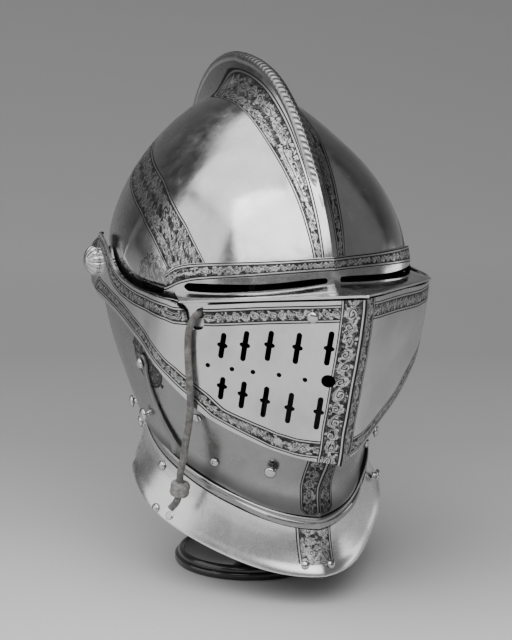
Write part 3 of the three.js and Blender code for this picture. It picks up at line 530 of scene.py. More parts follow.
plates["gorget_front"] = gorget("gorget_front_look", -108, 108, 200, 1.8, WALL_GORGET)
plates["gorget_rear"] = gorget("gorget_rear_look", 98, 262, 110, GORGET_REAR, WALL_GORGET)


# ---- small pieces ---------------------------------------------------------
GAP = 0.35
extras = {}


def dome(r, flat=False):
    if flat:
        return [(r, GAP), (r, 0.6), (0.93 * r, 0.8), (0.75 * r, 0.95), (0.4 * r, 1.05), (0.1 * r, 1.08)]
    return [(r, GAP), (r, 0.7)] + [(r * math.cos(t), 0.8 + 0.58 * r * math.sin(t)) for t in np.linspace(0.15, 1.5, 9)]


HEADS = [
    ("bevor_dome_rivet", 3.6, False, (-23.4, 181.4, -7.8), (-0.65, 0.73, -0.19)),
    ("bevor_band_rivet", 2.8, True, (-30.6, 150.2, -88.4), (-0.66, 0.68, -0.33)),
    ("jaw_rivet_right", 2.9, False, (-51.7, 105.5, -110.1), (-0.79, 0.54, -0.3)),
    ("jaw_rivet_left", 2.9, False, (51.7, 105.5, -110.1), (0.79, 0.54, -0.3)),
    ("jaw_flush_rivet", 3.0, True, (-65.4, 109.8, -80), (-0.73, 0.5, -0.46)),
    ("gorget_rivet_right", 3.0, False, (-70.4, 66.9, -120), (-0.95, 0.25, 0.16)),
    ("gorget_low_rivet_right", 3.0, False, (-77.4, 73.5, -144.8), (-0.83, 0.35, 0.44)),
    ("gorget_flush_rivet", 2.8, True, (-72.7, 83.7, -147.6), (-0.74, 0.53, 0.43)),
    ("panel_rivet_right", 2.6, False, (-11.1, 148, -168.8), (-0.29, 0.89, 0.35)),
    ("panel_rivet_left", 2.6, False, (4.9, 150.5, -169.8), (0.18, 0.92, 0.35)),
]
for name, r, flat, p, n in HEADS:
    extras[name] = turned(name + "_look", dome(r, flat), p, n, 28)

STUD = [(2.0, GAP), (1.75, 1.2), (1.75, 2.2), (2.1, 2.7), (3.6, 3.0), (4.0, 3.5), (3.95, 4.1), (3.5, 4.8), (2.6, 5.3), (1.2, 5.6), (0.3, 5.65)]


def stud(name, at, deg):
    n = np.array([math.sin(deg * D2R), 0.92 * math.cos(deg * D2R), -0.1])
    n /= np.linalg.norm(n)
    extras[name] = turned(name + "_look", STUD, np.array(at) + n * 0.35, n, 28)


stud("pierced_stud", (-77.7, 63.6, -86.3), -88)
stud("jaw_stud_right", lower_at(-113.0, 3.5, WALL_PLATE), -113)
stud("nape_stud_right", gorget_at(-113.0, 0.22, GORGET_REAR), -113)
stud("jaw_stud_left", lower_at(58.0, 16.0, WALL_PLATE), 58)
stud("gorget_stud_left", gorget_at(66.0, 0.42, 1.8), 66)

extras["catch_stud"] = turned("catch_stud_look", [(2.0, -6), (2.0, 1.6), (1.8, 2.6), (3.2, 2.8), (3.8, 3.2), (3.8, 3.9), (3.5, 4.6), (2.7, 5.2), (1.3, 5.55), (0.3, 5.6)], CATCH_AT, CATCH_N, 32)

ROS_R, ROS_TALL, FLUTES = 9.5, 6.8, 12


def flute(a, row):
    k = ROS_ROWS[row][0]
    depth = 0.15 * min(1, max(0, (k - 0.28) / 0.3)) * (1 if row >= 3 else 0)
    return 1 - depth * (1 - abs(math.sin(a * FLUTES / 2)) ** 0.55)


ROS_ROWS = [(0.21, -11), (0.21, 0), (0.98, 0.0), (1.0, 0.04), (1.0, 0.14), (0.97, 0.3), (0.9, 0.46), (0.79, 0.61), (0.64, 0.75), (0.5, 0.84), (0.36, 0.9), (0.34, 0.93), (0.28, 0.98), (0.17, 1.01), (0.05, 1.02)]
for side, name in ((-1, "pivot_rosette_right"), (1, "pivot_rosette_left")):
    x0 = float(curve(SIDE_X, 0.0)) + UPPER_OUT + GAP
    rows = [(r * ROS_R, h if h < 0 else h * ROS_TALL) for r, h in ROS_ROWS]
    extras[name] = turned(name + "_look", rows, (side * x0, 0, 0), (side, 0, 0), 240, flute)

# swivel hook down the jaw
HOOK_F, HOOK_RIVET = 83.0, -48.4
HOOK_N = np.array([-0.965, 0, -0.26]) / np.linalg.norm([0.965, 0.26])


def jaw_x(f, z):
    d = z - NECK["z0"] - NECK["slope"] * f
    a, b = -136.0, 0.0
    for _ in range(30):
        m = (a + b) / 2
        if float(lower_at(m, d, WALL_PLATE)[1]) < f:
            a = m
        else:
            b = m
    return float(lower_at(a, d, WALL_PLATE)[0])


hook_rows = [(-43.2, 0.6), (-43.6, 2.4), (-44.6, 3.8), (-46, 4.6), (-48.4, 5), (-50.6, 4.6), (-52.4, 3.8), (-54.4, 2.5), (-57, 2.0), (-64, 1.7), (-74, 1.6), (-84, 1.6), (-93, 1.7), (-101, 1.9), (-104, 1.9), (-106.4, 1.6), (-108, 0.6)]
loops = []
for z, half in hook_rows:
    lift = 0.6 + 1.6 * float(smooth(98, 108, -z))
    x = min(jaw_x(HOOK_F - 2.6, z), jaw_x(HOOK_F + 2.6, z)) - lift
    T = 1.8
    loops.append([(x, HOOK_F - half, z), (x, HOOK_F + half, z), (x - T * 0.6, HOOK_F + half, z), (x - T, HOOK_F + half * 0.7, z), (x - T, HOOK_F - half * 0.7, z), (x - T * 0.6, HOOK_F - half, z)])
extras["hook"] = loft("hook_look", loops)
seat = np.array([jaw_x(HOOK_F, HOOK_RIVET) - 0.6, HOOK_F, HOOK_RIVET])
extras["hook_rivet"] = turned("hook_rivet_look", dome(3.4), seat + HOOK_N * 2.3, HOOK_N, 28)

# roped edge of the comb
rope_deg = np.concatenate([np.arange(22, 168, 0.2)])
R0 = curve(SKULL_R, rope_deg) + curve(COMB_H, rope_deg)
fade = smooth(22, 30, rope_deg) * (1 - smooth(152, 167, rope_deg))
step = np.hypot(R0[1:] * 0.2 * D2R, np.diff(R0))
along = np.concatenate([[0], np.cumsum(step)])
th = np.linspace(0, 2 * math.pi, 28, endpoint=False)
PITCH = 4.4
th = np.where(th > math.pi, th - 2 * math.pi, th)
phase = 2 * math.pi * along[:, None] / PITCH + 3.4 * th[None, :]
cuts = smooth(28, 33, rope_deg) * (1 - smooth(97, 101, rope_deg))
window = smooth(-1.15, -0.8, th) * (1 - smooth(1.5, 1.8, th))
groove = np.power(0.5 - 0.5 * np.cos(phase), 1.7) * (fade * cuts)[:, None] * window[None, :]
swell = 1 - 0.08 * groove
half_w, half_h = (1.2 + 1.9 * fade + 1.1 * cuts)[:, None], (1.0 + 2.0 * fade + 0.8 * cuts)[:, None]
px = half_w * swell * np.sin(th)[None, :]
pr = (R0 - 2.9 * fade - 0.9)[:, None] + half_h * swell * np.cos(th)[None, :]
rope = np.stack([px, CF + pr * np.cos(rope_deg * D2R)[:, None], CZ + pr * np.sin(rope_deg * D2R)[:, None]], -1)
rope_ob = loft("comb_rope", rope)
# the groove depth also sets painted shade: the rope's colour darkens in the slashes
rope_groove_shade = np.concatenate([[0], groove.reshape(-1), [0]])

# stand
foot_rows = [(FOOT_R - 1.2, 0), (FOOT_R - 0.3, 0.5), (FOOT_R, 1.4), (FOOT_R, 3.4), (FOOT_R - 0.4, 4.3), (FOOT_R - 1.4, 4.9), (FOOT_R - 2.2, 5.1), (FOOT_R - 2.3, 5.8), (FOOT_R - 2.4, 6.6), (FOOT_R - 3, 7.9), (FOOT_R - 4, 8.6),
             (FOOT_R - 5, 8.7), (FOOT_R - 6, 8.1), (FOOT_R - 6.6, 7.2), (FOOT_R - 7.4, 6.9), (30, 6.5), (20, 6.3), (16, 6.8), (14, 8), (3, 8)]
extras["stand_foot"] = turned("stand_foot_look", foot_rows, (0, FOOT_F, -PIVOT_HEIGHT), (0, 0, 1), 128)

# lace and toggle
LACE = [(-69.6, 129.4, -10.7), (-73.4, 133.2, -10.5), (-77.4, 136.6, -10.9), (-80, 136.6, -14.6), (-80.8, 134, -20.4), (-80.2, 131, -32.4),
        (-77.9, 127.6, -51.4), (-76.1, 124.8, -64.4), (-73.9, 118, -78.4), (-73.4, 111.6, -92.4), (-73.5, 107, -106.2), (-74.5, 104.6, -116),
        (-74.2, 103.4, -124.8), (-75.6, 101.6, -133.1), (-79.2, 100, -137.9)]
LACE_D = 4.4


def through(points, per=8):
    p = np.array(points, float)
    p = np.concatenate([[2 * p[0] - p[1]], p, [2 * p[-1] - p[-2]]])
    out = []
    for i in range(1, len(p) - 2):
        t = [0.0]
        for a, b in ((i - 1, i), (i, i + 1), (i + 1, i + 2)):
            t.append(t[-1] + math.sqrt(np.linalg.norm(p[b] - p[a])))
        for u in np.linspace(t[1], t[2], per, endpoint=False):
            A1 = (t[1] - u) / (t[1] - t[0]) * p[i - 1] + (u - t[0]) / (t[1] - t[0]) * p[i]
            A2 = (t[2] - u) / (t[2] - t[1]) * p[i] + (u - t[1]) / (t[2] - t[1]) * p[i + 1]
            A3 = (t[3] - u) / (t[3] - t[2]) * p[i + 1] + (u - t[2]) / (t[3] - t[2]) * p[i + 2]
            B1 = (t[2] - u) / (t[2] - t[0]) * A1 + (u - t[0]) / (t[2] - t[0]) * A2
            B2 = (t[3] - u) / (t[3] - t[1]) * A2 + (u - t[1]) / (t[3] - t[1]) * A3
            out.append((t[2] - u) / (t[2] - t[1]) * B1 + (u - t[1]) / (t[2] - t[1]) * B2)
    out.append(p[-2])
    return np.array(out)


lace_path = world(through(LACE))
cu = bpy.data.curves.new("lace_look", "CURVE")
cu.dimensions = "3D"
cu.bevel_depth = LACE_D / 2000
cu.bevel_resolution = 3
cu.use_fill_caps = True
sp = cu.splines.new("POLY")
sp.points.add(len(lace_path) - 1)
for pt, q in zip(sp.points, lace_path):
    pt.co = (*q, 1)
lace = bpy.data.objects.new("lace_look", cu)
bpy.context.scene.collection.objects.link(lace)
extras["lace"] = lace
TOG_AT, TOG_N = np.array([-74.2, 103.4, -124.8]), np.array([0.1, 0.15, 1.0])
tog = turned("toggle_look", [(3.6, -4.7), (4.9, -4.3), (5.8, -3.2), (6.1, -1.4), (5.7, -0.2), (5.7, 0.2), (6.1, 1.4), (5.8, 3.2), (4.9, 4.3), (3.6, 4.7)], TOG_AT, TOG_N, 32)
cut(tog, drill(2.9, TOG_AT, TOG_N, 12))
extras["toggle"] = tog

# ---- bands on the plates: along, across from the middle, half width, all millimetres ----
def put(ob, name, values):
    at = ob.data.attributes.new(name, "FLOAT", "POINT")
    at.data.foreach_set("value", np.ascontiguousarray(values, np.float32))


def places(ob):
    co = np.zeros(len(ob.data.vertices) * 3, np.float32)
    ob.data.vertices.foreach_get("co", co)
    p = local(co.reshape(-1, 3))
    return p[:, 0], p[:, 1], p[:, 2]


def band(ob, key, along, across, half):
    put(ob, key + "u", along)
    put(ob, key + "v", across)
    put(ob, key + "w", half + 0 * across)


def reach(f, z, line):
    """Distance from the points to a polyline in side view, and the way along it."""
    best = np.full(len(f), 1e9)
    way = np.zeros(len(f))
    run = 0.0
    for (f0, z0), (f1, z1) in zip(line[:-1], line[1:]):
        L = math.hypot(f1 - f0, z1 - z0)
        t = np.clip(((f - f0) * (f1 - f0) + (z - z0) * (z1 - z0)) / (L * L), 0, 1)
        d = np.hypot(f - f0 - t * (f1 - f0), z - z0 - t * (z1 - z0))
        way = np.where(d < best, run + t * L, way)
        best = np.minimum(best, d)
        run += L
    return best, way


x, f, z = places(plates["skull"])
deg = np.arctan2(z - CZ, f - CF) / D2R
deg = np.where(deg < -30, deg + 360, deg)
COMB_OUT = [(-8, 9), (8, 10.8), (13, 11.7), (24, 13.4), (38, 15.9), (55, 18.2), (75, 18.4), (90, 19.4), (110, 20), (135, 17), (160, 11), (180, 6)]
comb_out, comb_in = curve(COMB_OUT, deg), 4.2
half = 0.5 * np.hypot(comb_out - comb_in, curve(COMB_H, deg) * 0.9) * (1 - smooth(94, 106, deg))
band(plates["skull"], "a", deg * 2.05, ((np.abs(x) - comb_in) / (comb_out - comb_in) - 0.5) * 2 * half, half)
Z_LOW = [(-80, 58), (-40, 60), (0, 54), (32.7, 45.6), (54.7, 38.4), (78.3, 29.3), (92, 19.3), (102.2, 8.7), (107, 1), (112, -8), (125, -40), (160, -60)]
Z_HIGH = [(-80, 80), (-40, 81), (0, 76), (37.3, 67.2), (76.4, 54.3), (102.9, 40), (114.5, 29.7), (124.9, 17.5), (131, 8), (140, -10), (160, -40)]
zl, zh = curve(Z_LOW, f), curve(Z_HIGH, f)
half = 0.5 * (zh - zl)
band(plates["skull"], "b", f * 1.2, ((z - zl) / (zh - zl) - 0.5) * 2 * half, half)

# spray of leaves before the foot of the diagonal band
w = 13.5 - np.hypot((f - 88) / 1.15, z - 4.5)
put(plates["skull"], "leaf", np.where(np.abs(x) > 60, w, -50.0))

x, f, z = places(plates["visor"])
zb = curve([(100, -2), (113, 3.6), (122.6, 6.8), (146, 11), (161, 13.4), (170, 14)], f)
zt = curve([(100, 8), (103.5, 9.5), (108, 13.2), (119, 16.8), (140, 19.8), (163, 22), (170, 22.6)], f)
half = 0.5 * (zt - zb)
band(plates["visor"], "a", np.arctan2(x, f - 50) * 110, ((z - zb) / (zt - zb) - 0.5) * 2 * half, half - 0.3)

x, f, z = places(plates["upper_bevor"])
TOP = [(206, 4.3), (160, -1.4), (140, -4.4), (123, -5), (118, -4), (91, -3.4), (74, -2.4), (60, -0.8), (48, 2.8), (40, 7.8), (33, 13.5), (26, 18.5), (16, 20.8),
       (6, 18.4), (-3, 13.6), (-9, 7.6), (-11.4, 0)]
d, s = reach(f, z, TOP)
band(plates["upper_bevor"], "a", s * (1 + 0.4 * smooth(105, 125, f)), d - (7.6 - 1.2 * (1 - smooth(90, 125, f))), 5.3 - 0.6 * (1 - smooth(90, 125, f)))
LOW = [(12, -17.4), (32, -18.9), (48, -21.4), (64, -25.4), (80, -30.6), (93, -36.8), (102, -43), (111.2, -51), (121.3, -65.5), (126.2, -75.2), (136.7, -85.5), (145.2, -93.0), (155.6, -97.3), (176, -100)]
d, s = reach(f, z, LOW)
line_z = np.interp(f, [q[0] for q in LOW], [q[1] for q in LOW])
sign = np.where(z > line_z, 1.0, -1.0)
half = 0.5 * (9 + 3 * smooth(130, 155, f))
band(plates["upper_bevor"], "b", s * 1.2, d * sign - half, half)
band(plates["upper_bevor"], "c", -z * 1.05, np.abs(x) * 1.45 - 8.0, 8.0)

x, f, z = places(plates["lower_bevor"])
band(plates["lower_bevor"], "a", -z * 1.05, np.abs(x) * 1.3 - 7.0, 7.0 * (1 - smooth(-98, -90, z)) - 20 * smooth(5.2, 4.4, z - NECK["z0"] - NECK["slope"] * f))
put(plates["lower_bevor"], "sunf", f - 86)
put(plates["lower_bevor"], "sunz", np.where(x < 0, z + 46.8, 500.0))
line_z = np.interp(f, [q[0] for q in LOW], [q[1] for q in LOW])
neck_d = z - NECK["z0"] - NECK["slope"] * f
# painted shade: the lower bevor's colour darkens in a band just above the neckline, where the gorget's edge shades it
neck_shade = (1 - smooth(5, 17, neck_d)) * smooth(2.5, 4.5, neck_d) * smooth(20, 60, f)
# painted shade: the lower bevor is darkened where the upper bevor covers it (seen through the slots); this attribute
# holds both painted shades
put(plates["lower_bevor"], "under_shade", np.maximum(smooth(1.5, 6, z - line_z), 0.62 * neck_shade))

x, f, z = places(plates["gorget_front"])
band(plates["gorget_front"], "a", -z * 1.1, np.where(f > 100, x + 3.1, 99.0), 11.2 - 30 * smooth(-168.8, -169.6, z))

# ---- materials ------------------------------------------------------------
class S:
    """A value in a node tree, with arithmetic."""

    def __init__(self, tree, sock):
        self.t, self.s = tree, sock

    def op(self, name, *others):
        n = self.t.nodes.new("ShaderNodeMath")
        n.operation = name
        for i, v in enumerate((self,) + others):
            if isinstance(v, S):
                self.t.links.new(v.s, n.inputs[i])
            else:
                n.inputs[i].default_value = v
        return S(self.t, n.outputs[0])

    def __add__(self, o): return self.op("ADD", o)
    def __radd__(self, o): return self.op("ADD", o)
    def __sub__(self, o): return self.op("SUBTRACT", o)
    def __rsub__(self, o): return (self * -1.0).op("ADD", o)
    def __mul__(self, o): return self.op("MULTIPLY", o)
    def __rmul__(self, o): return self.op("MULTIPLY", o)
    def __truediv__(self, o): return self.op("DIVIDE", o)
    def abs(self): return self.op("ABSOLUTE")
    def sin(self): return self.op("SINE")
    def cos(self): return self.op("COSINE")
    def floor(self): return self.op("FLOOR")
    def fract(self): return self.op("FRACT")
    def sqrt(self): return self.op("SQRT")
    def max(self, o): return self.op("MAXIMUM", o)
    def min(self, o): return self.op("MINIMUM", o)
    def mod(self, o): return self.op("FLOORED_MODULO", o)
    def atan2(self, o): return self.op("ARCTAN2", o)
    def power(self, o): return self.op("POWER", o)

    def ramp(self, a, b):
        """0 at a, 1 at b, smooth between."""
        n = self.t.nodes.new("ShaderNodeMapRange")
        n.interpolation_type = "SMOOTHSTEP"
        self.t.links.new(self.s, n.inputs["Value"])
        n.inputs["From Min"].default_value = min(a, b)
        n.inputs["From Max"].default_value = max(a, b)
        n.inputs["To Min"].default_value = 0.0 if a < b else 1.0
        n.inputs["To Max"].default_value = 1.0 if a < b else 0.0
        return S(self.t, n.outputs["Result"])


def attr(tree, name):
    n = tree.nodes.new("ShaderNodeAttribute")
    n.attribute_name = name
    return S(tree, n.outputs["Fac"])


def pack(tree, a, b, c=0.0):
    n = tree.nodes.new("ShaderNodeCombineXYZ")
    for i, v in enumerate((a, b, c)):
        if isinstance(v, S):
            tree.links.new(v.s, n.inputs[i])
        else:
            n.inputs[i].default_value = v
    return n.outputs[0]


def noise(tree, vec, scale, detail=2.0, rough=0.5):
    n = tree.nodes.new("ShaderNodeTexNoise")
    tree.links.new(vec, n.inputs["Vector"])
    n.inputs["Scale"].default_value = scale
    n.inputs["Detail"].default_value = detail
    n.inputs["Roughness"].default_value = rough
    return S(tree, n.outputs["Fac"])


def cells(tree, vec, scale):
    n = tree.nodes.new("ShaderNodeTexVoronoi")
    n.feature = "F1"
    tree.links.new(vec, n.inputs["Vector"])
    n.inputs["Scale"].default_value = scale
    return S(tree, n.outputs["Distance"]), n


def mix(a, b, k):
    return a + (b - a) * k


def linework(tree, u, v, seed):
    """Fine curling lines of etched foliage, 1 on a line."""
    n1 = noise(tree, pack(tree, u, v, seed), 0.2, 2.0)
    n2 = noise(tree, pack(tree, v, u, seed + 7.3), 0.2, 2.0)
    warped = pack(tree, u + (n1 - 0.5) * 7.0, v + (n2 - 0.5) * 7.0, seed + 1.7)
    curls = noise(tree, warped, 0.27, 1.2, 0.5)
    lines = ((curls * 2.9).fract() - 0.5).abs().ramp(0.3, 0.17)
    hatch = noise(tree, warped, 0.75, 1.0)
    fine = ((hatch * 2.2).fract() - 0.5).abs().ramp(0.17, 0.08)
    return lines.max(fine * 0.75), n1


def etched(tree, key, seed, base=0.24):
    """Etched foliage in a band: returns how far inside the band, and how bright the metal is there."""
    u, v, w = attr(tree, key + "u"), attr(tree, key + "v"), attr(tree, key + "w")
    edge = w - v.abs()
    inside = edge.ramp(-0.06, 0.06)
    line1 = (edge - 0.4).abs().ramp(0.5, 0.28)
    line2 = (edge - 1.9).abs().ramp(0.46, 0.24)
    ground = edge.ramp(2.05, 2.2)
    wi = (w - 1.9).max(0.6)
    spot = pack(tree, u, v, seed)
    lines, n1 = linework(tree, u, v, seed)
    rows = (wi * (1 / 4.4) + 0.5).floor().max(1.0)
    tall = wi / rows
    q = (v + wi + (n1 - 0.5) * rows.min(2.0) * 1.4 - 0.7 * (rows.min(2.0) - 1.0)) / (tall * 2.0)
    line = q.floor()
    uu = u + (n1 - 0.5) * tall * 1.2 + line * tall * 1.1
    cell = tall * 1.5
    p = uu / cell
    n = p.floor()
    c = p - n - 0.5
    flip = 1.0 - 2.0 * (n + line).mod(2.0)
    y = (q.fract() - 0.5) * 2.0 * flip
    xx = c * 1.5
    stem = (y - (c * math.pi).cos() * 0.66).abs().ramp(0.15, 0.07)
    yc = y + 0.1
    rho = (xx * xx + yc * yc).sqrt()
    phi = yc.atan2(xx)
    turn = (rho * 3.2 - phi * (1 / (2 * math.pi)) + 0.1).fract()
    arms = (turn - 0.5).abs().ramp(0.34, 0.24) * rho.ramp(0.62, 0.56)
    leaf = (phi * 6.0 + (rho * 11.0).sin() * 1.1).sin().ramp(-0.3, 0.2) * rho.ramp(0.5, 0.56) * rho.ramp(1.1, 0.9)
    fol = stem.max(arms).max(leaf)
    wear = noise(tree, spot, 0.12, 3.0)
    keep = mix(0.7, 1.0, wear.ramp(0.3, 0.6))
    fol = mix(base, 1.0, fol) * (1.0 - lines * mix(0.95, 0.45, stem.max(arms)) * keep)
    plain = 1.0 - line1.max(line2)
    bright = mix(plain, fol, ground)
    return inside, bright, ground


def sun(tree):
    """Half rosette etched behind the hook, on the front side of its rivet."""
    a, b = attr(tree, "sunf"), attr(tree, "sunz")
    rho = (a * a + b * b).sqrt()
    phi = b.atan2(a)
    n = (phi * 14.0).cos()
    rays = n.ramp(-0.5, 0.1)
    ring = (rho - 16.9).abs().ramp(0.7, 0.35).max((rho - 14.9).abs().ramp(0.5, 0.25)).max((rho - 8.2).abs().ramp(0.5, 0.25))
    lines, _ = linework(tree, a, b, 9.1)
    knobs = ((phi * 7.0).cos()).ramp(0.72, 0.86) * (rho - 18.6).abs().ramp(1.2, 0.8)
    inside = rho.ramp(17.8, 17.5).max(knobs)
    bright = (1.0 - ring.max(lines * 0.75)) * mix(0.42, 0.9, rays) * (1.0 - knobs)
    return inside, bright


def steel(name, keys=(), with_sun=False, tone=0.64, rough=0.2, dark=0.025, pit=1.0, shade=None, spray=False, inner_shade=False, base=0.24):
    m = bpy.data.materials.new(name)
    m.use_nodes = True
    t = m.node_tree
    b = t.nodes["Principled BSDF"]
    b.inputs["Metallic"].default_value = 1.0
    co = t.nodes.new("ShaderNodeTexCoord").outputs["Object"]
    cloud = noise(t, co, 26.0, 4.0, 0.6)
    fine = noise(t, co, 420.0, 3.0, 0.6)
    grime = noise(t, co, 85.0, 5.0, 0.65)
    colour = mix(tone * 0.86, tone * 1.08, cloud.ramp(0.3, 0.7)) * mix(0.93, 1.03, fine)
    roughness = mix(rough * (1 - 0.25 * pit), rough * (1 + 0.35 * pit), grime.ramp(0.3, 0.75)) + (fine - 0.5) * 0.05
    dist, vor = cells(t, co, 165.0)
    pick = S(t, vor.outputs["Color"])
    pits = dist.ramp(0.17, 0.06) * pick.ramp(0.84, 0.9) * cloud.ramp(0.42, 0.6)
    stain = grime.ramp(0.63, 0.74) * cloud.ramp(0.45, 0.62)
    colour = colour * (1.0 - pits * 0.8 * pit) * (1.0 - stain * 0.22 * pit)
    roughness = roughness + pits * (0.3 * pit) + stain * (0.1 * pit)
    height = cloud * 0.25 + fine * 0.02 - pits * 0.1
    for i, key in enumerate(keys):
        inside, bright, ground = etched(t, key, 3.7 * i, base)
        etch_colour = mix(dark, tone * 0.9, bright) * mix(0.85, 1.1, fine)
        etch_rough = mix(0.5, rough + 0.08, bright)
        colour = mix(colour, etch_colour, inside)
        roughness = mix(roughness, etch_rough, inside)
        height = height + bright * inside * 0.12
    if with_sun:
        inside, bright = sun(t)
        colour = mix(colour, mix(dark, tone * 0.8, bright), inside)
        roughness = mix(roughness, mix(0.5, rough + 0.08, bright), inside)
    if spray:
        e = attr(t, "leaf")
        lines, wave = linework(t, attr(t, "bu"), attr(t, "bv"), 5.2)
        inside = (e + (wave - 0.5) * 16.0).ramp(0.0, 1.0)
        rim = (e + (wave - 0.5) * 16.0 - 0.4).abs().ramp(0.7, 0.3)
        colour = colour * (1.0 - (lines * inside * 0.5).max(rim * 0.6))
    if shade:
        # painted shade: the colour is darkened and dulled wherever the given attribute marks shade
        k = attr(t, shade)
        colour = colour * (1.0 - k * 0.93)
        roughness = mix(roughness, 0.6, k)
    if inner_shade:
        # painted shade: faces on the inside of a plate are darkened; the higher roughness is the unpolished inner
        # finish
        k = attr(t, "inner")
        colour = colour * (1.0 - k * 0.9)
        roughness = mix(roughness, 0.75, k)
    rgb = t.nodes.new("ShaderNodeCombineColor")
    for i, k in enumerate((1.0, 1.0, 1.0)):
        t.links.new((colour * k).s, rgb.inputs[i])
    t.links.new(rgb.outputs[0], b.inputs["Base Color"])
    t.links.new(roughness.max(0.06).s, b.inputs["Roughness"])
    bump = t.nodes.new("ShaderNodeBump")
    bump.inputs["Strength"].default_value = 0.45
    bump.inputs["Distance"].default_value = 0.0008
    t.links.new(height.s, bump.inputs["Height"])
    t.links.new(bump.outputs[0], b.inputs["Normal"])
    return m


def hide(name, tone):
    m = bpy.data.materials.new(name)
    m.use_nodes = True
    t = m.node_tree
    b = t.nodes["Principled BSDF"]
    co = t.nodes.new("ShaderNodeTexCoord").outputs["Object"]
    k = noise(t, co, 300.0, 4.0, 0.65)
    k2 = noise(t, co, 90.0, 3.0, 0.6)
    colour = mix(tone * 0.55, tone * 1.3, k.ramp(0.3, 0.7)) * mix(0.7, 1.15, k2.ramp(0.3, 0.7))
    rgb = t.nodes.new("ShaderNodeCombineColor")
    for i, q in enumerate((1.0, 0.97, 0.93)):
        t.links.new((colour * q).s, rgb.inputs[i])
    t.links.new(rgb.outputs[0], b.inputs["Base Color"])
    b.inputs["Roughness"].default_value = 0.75
    bump = t.nodes.new("ShaderNodeBump")
    bump.inputs["Strength"].default_value = 0.6
    bump.inputs["Distance"].default_value = 0.0006
    t.links.new(k.s, bump.inputs["Height"])
    t.links.new(bump.outputs[0], b.inputs["Normal"])
    return m


def lacquer(name):
    m = bpy.data.materials.new(name)
    m.use_nodes = True
    t = m.node_tree
    b = t.nodes["Principled BSDF"]
    co = t.nodes.new("ShaderNodeTexCoord").outputs["Object"]
    k = noise(t, co, 60.0, 4.0, 0.6)
    rgb = t.nodes.new("ShaderNodeCombineColor")
    c = mix(0.012, 0.03, k)
    for i in range(3):
        t.links.new(c.s, rgb.inputs[i])
    t.links.new(rgb.outputs[0], b.inputs["Base Color"])
    t.links.new(mix(0.16, 0.3, k).s, b.inputs["Roughness"])
    b.inputs["Coat Weight"].default_value = 0.4
    return m


mats = {
    "skull": steel("skull_steel", ("a", "b"), spray=True, inner_shade=True, base=0.18),
    "visor": steel("visor_steel", ("a",), inner_shade=True, base=0.16),
    "upper_bevor": steel("upper_bevor_steel", ("a", "b", "c"), tone=0.66, inner_shade=True, base=0.14),
    "lower_bevor": steel("lower_bevor_steel", ("a",), True, tone=0.33, rough=0.25, pit=0.5, shade="under_shade", inner_shade=True),
    "gorget_front": steel("gorget_steel", ("a",), tone=0.76, rough=0.27, pit=0.15, inner_shade=True, base=0.5),
    "gorget_rear": steel("gorget_rear_steel", tone=0.6, inner_shade=True),
}
plain = steel("fitting_steel", tone=0.58, rough=0.22, pit=0.4)
worn = steel("hook_steel", tone=0.26, rough=0.36)
# painted shade in the rope's grooves, from the groove attribute
roped = steel("roped_steel", tone=0.44, rough=0.3, pit=0.4, shade="groove")
put(rope_ob, "groove", rope_groove_shade)
leather = hide("lace_hide", 0.17)
leather_dark = hide("toggle_hide", 0.24)
black = lacquer("stand_lacquer")


def finish_piece(ob, node, mat):
    ob.data.materials.clear()
    ob.data.materials.append(mat)
    if ob.type == "MESH":
        ob.data.polygons.foreach_set("use_smooth", [True] * len(ob.data.polygons))
        ob.data.set_sharp_from_angle(angle=34 * D2R)
    body = next(b for b, ns in frame["record"]["behaviour"]["bodies"].items() if node in ns)
    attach(ob, body)


for node, ob in plates.items():
    # the inside of each plate is left rough, and its colour is darkened as painted shade
    count = len(ob.data.polygons)
    mids, ups = np.zeros(count * 3), np.zeros(count * 3)
    ob.data.polygons.foreach_get("center", mids)
    ob.data.polygons.foreach_get("normal", ups)
    mids, ups = mids.reshape(-1, 3), ups.reshape(-1, 3)
    heart = np.array(world([(0, CF, CZ) if node == "skull" else (0, 60, -30)])[0], float)
    out = mids - heart
    if node.startswith("gorget"):
        out[:, 2] = 0
    out /= np.linalg.norm(out, axis=1)[:, None] + 1e-9
    inner = ob.data.attributes.new("inner", "FLOAT", "FACE")
    inner.data.foreach_set("value", ((out * ups).sum(1) < -0.25).astype(np.float32))
    finish_piece(ob, node, mats[node])
    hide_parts(node)
for node, ob in extras.items():
    if node == "hook":
        finish_piece(ob, node, worn)
    elif node == "lace":
        finish_piece(ob, node, leather)
    elif node == "toggle":
        finish_piece(ob, node, leather_dark)
    elif node == "stand_foot":
        finish_piece(ob, node, black)
    else:
        finish_piece(ob, node, plain)
    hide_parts(node)
finish_piece(rope_ob, "skull", roped)
nodes["stand_post"].data.materials.clear()
nodes["stand_post"].data.materials.append(black)

# ---- stage ----------------------------------------------------------------
def stage_material(name, tone, rough):
    m = bpy.data.materials.new(name)
    m.use_nodes = True
    b = m.node_tree.nodes["Principled BSDF"]
    t = m.node_tree
    co = t.nodes.new("ShaderNodeTexCoord").outputs["Object"]
    sep = t.nodes.new("ShaderNodeSeparateXYZ")
    t.links.new(co, sep.inputs[0])
    depth = (S(t, sep.outputs[1]) + 0.4) * (1 / 2.6)
    # painted light: the grey runs lighter at the front of the floor and darker towards the back and up the wall, as a
    # painted fall-off of the lamps
    painted_falloff = t.nodes.new("ShaderNodeValToRGB")
    while len(painted_falloff.color_ramp.elements) < len(tone):
        painted_falloff.color_ramp.elements.new(0.5)
    for e, (y, k) in zip(painted_falloff.color_ramp.elements, tone):
        e.position = (y + 0.4) / 2.6
        e.color = (k, k, k, 1)
    t.links.new(depth.s, painted_falloff.inputs[0])
    t.links.new(painted_falloff.outputs[0], b.inputs["Base Color"])
    b.inputs["Roughness"].default_value = rough
    b.inputs["Specular IOR Level"].default_value = 0.15
    return m


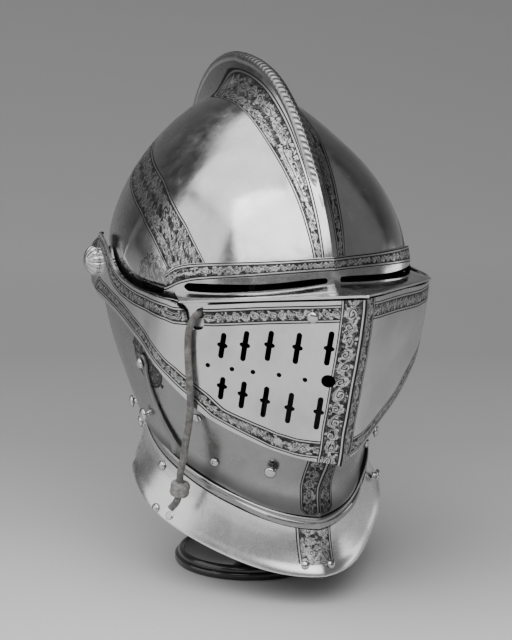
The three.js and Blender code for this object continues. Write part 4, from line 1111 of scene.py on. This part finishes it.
prof = [(-2.2, 0.0), (0.9, 0.0)] + [(0.9 + 1.2 * math.sin(t), 1.2 - 1.2 * math.cos(t)) for t in np.linspace(0.1, 1.5, 14)] + [(2.12, 3.2)]
sv, sf = [], []
for i, (y, h) in enumerate(prof):
    sv += [(-4, y, h), (4, y, h)]
    if i:
        sf.append((2 * i - 2, 2 * i - 1, 2 * i + 1, 2 * i))
sm = bpy.data.meshes.new("backdrop")
sm.from_pydata(sv, [], sf)
backdrop = bpy.data.objects.new("backdrop", sm)
backdrop.rotation_euler = (0, 0, -25 * D2R)
bpy.context.scene.collection.objects.link(backdrop)
sm.materials.append(stage_material("backdrop_grey", [(-0.3, 0.8), (-0.12, 0.72), (0.1, 0.5), (0.32, 0.38), (0.62, 0.33), (1.05, 0.39), (1.6, 0.31), (2.1, 0.2)], 0.9))
sm.polygons.foreach_set("use_smooth", [True] * len(sm.polygons))


def area(name, at, to, w, h, power):
    li = bpy.data.lights.new(name, "AREA")
    li.shape = "RECTANGLE"
    li.size, li.size_y = w, h
    li.energy = power
    ob = bpy.data.objects.new(name, li)
    ob.location = at
    ob.rotation_euler = (Vector(to) - Vector(at)).to_track_quat("-Z", "Y").to_euler()
    bpy.context.scene.collection.objects.link(ob)
    return ob


mid = (0, 0, 0.17)
area("key", (-0.55, -1.3, 1.5), mid, 2.2, 1.6, 34)
area("sky", (-0.6, 0.1, 1.95), (-0.1, 0.0, 0.17), 2.2, 1.9, 24)
area("left", (-1.85, 0.25, 0.85), mid, 2.0, 1.6, 13)
area("right", (1.5, 0.0, 0.12), (0, 0, 0.1), 0.8, 0.22, 1.15)
wd = bpy.data.worlds.new("room")
bpy.context.scene.world = wd
wd.use_nodes = True
wd.node_tree.nodes["Background"].inputs["Color"].default_value = (0.15, 0.15, 0.15, 1)
wd.node_tree.nodes["Background"].inputs["Strength"].default_value = 1.0

# ---- camera ---------------------------------------------------------------
THETA, ELEV, DIST = 25 * D2R, 12 * D2R, 1.4
target = Vector((0, (SHIFT_F - 53.7) / 1000, (PIVOT_HEIGHT - 36.3) / 1000))
cam_data = bpy.data.cameras.new("camera")
cam_data.sensor_fit = "VERTICAL"
cam_data.sensor_height = 24
cam_data.lens = 12 * 2212 / 320
cam = bpy.data.objects.new("camera", cam_data)
cam.location = target + DIST * Vector((-math.sin(THETA) * math.cos(ELEV), -math.cos(THETA) * math.cos(ELEV), math.sin(ELEV)))
cam.rotation_euler = (target - cam.location).to_track_quat("-Z", "Y").to_euler()
bpy.context.scene.collection.objects.link(cam)
bpy.context.scene.camera = cam

bpy.context.view_layer.update()
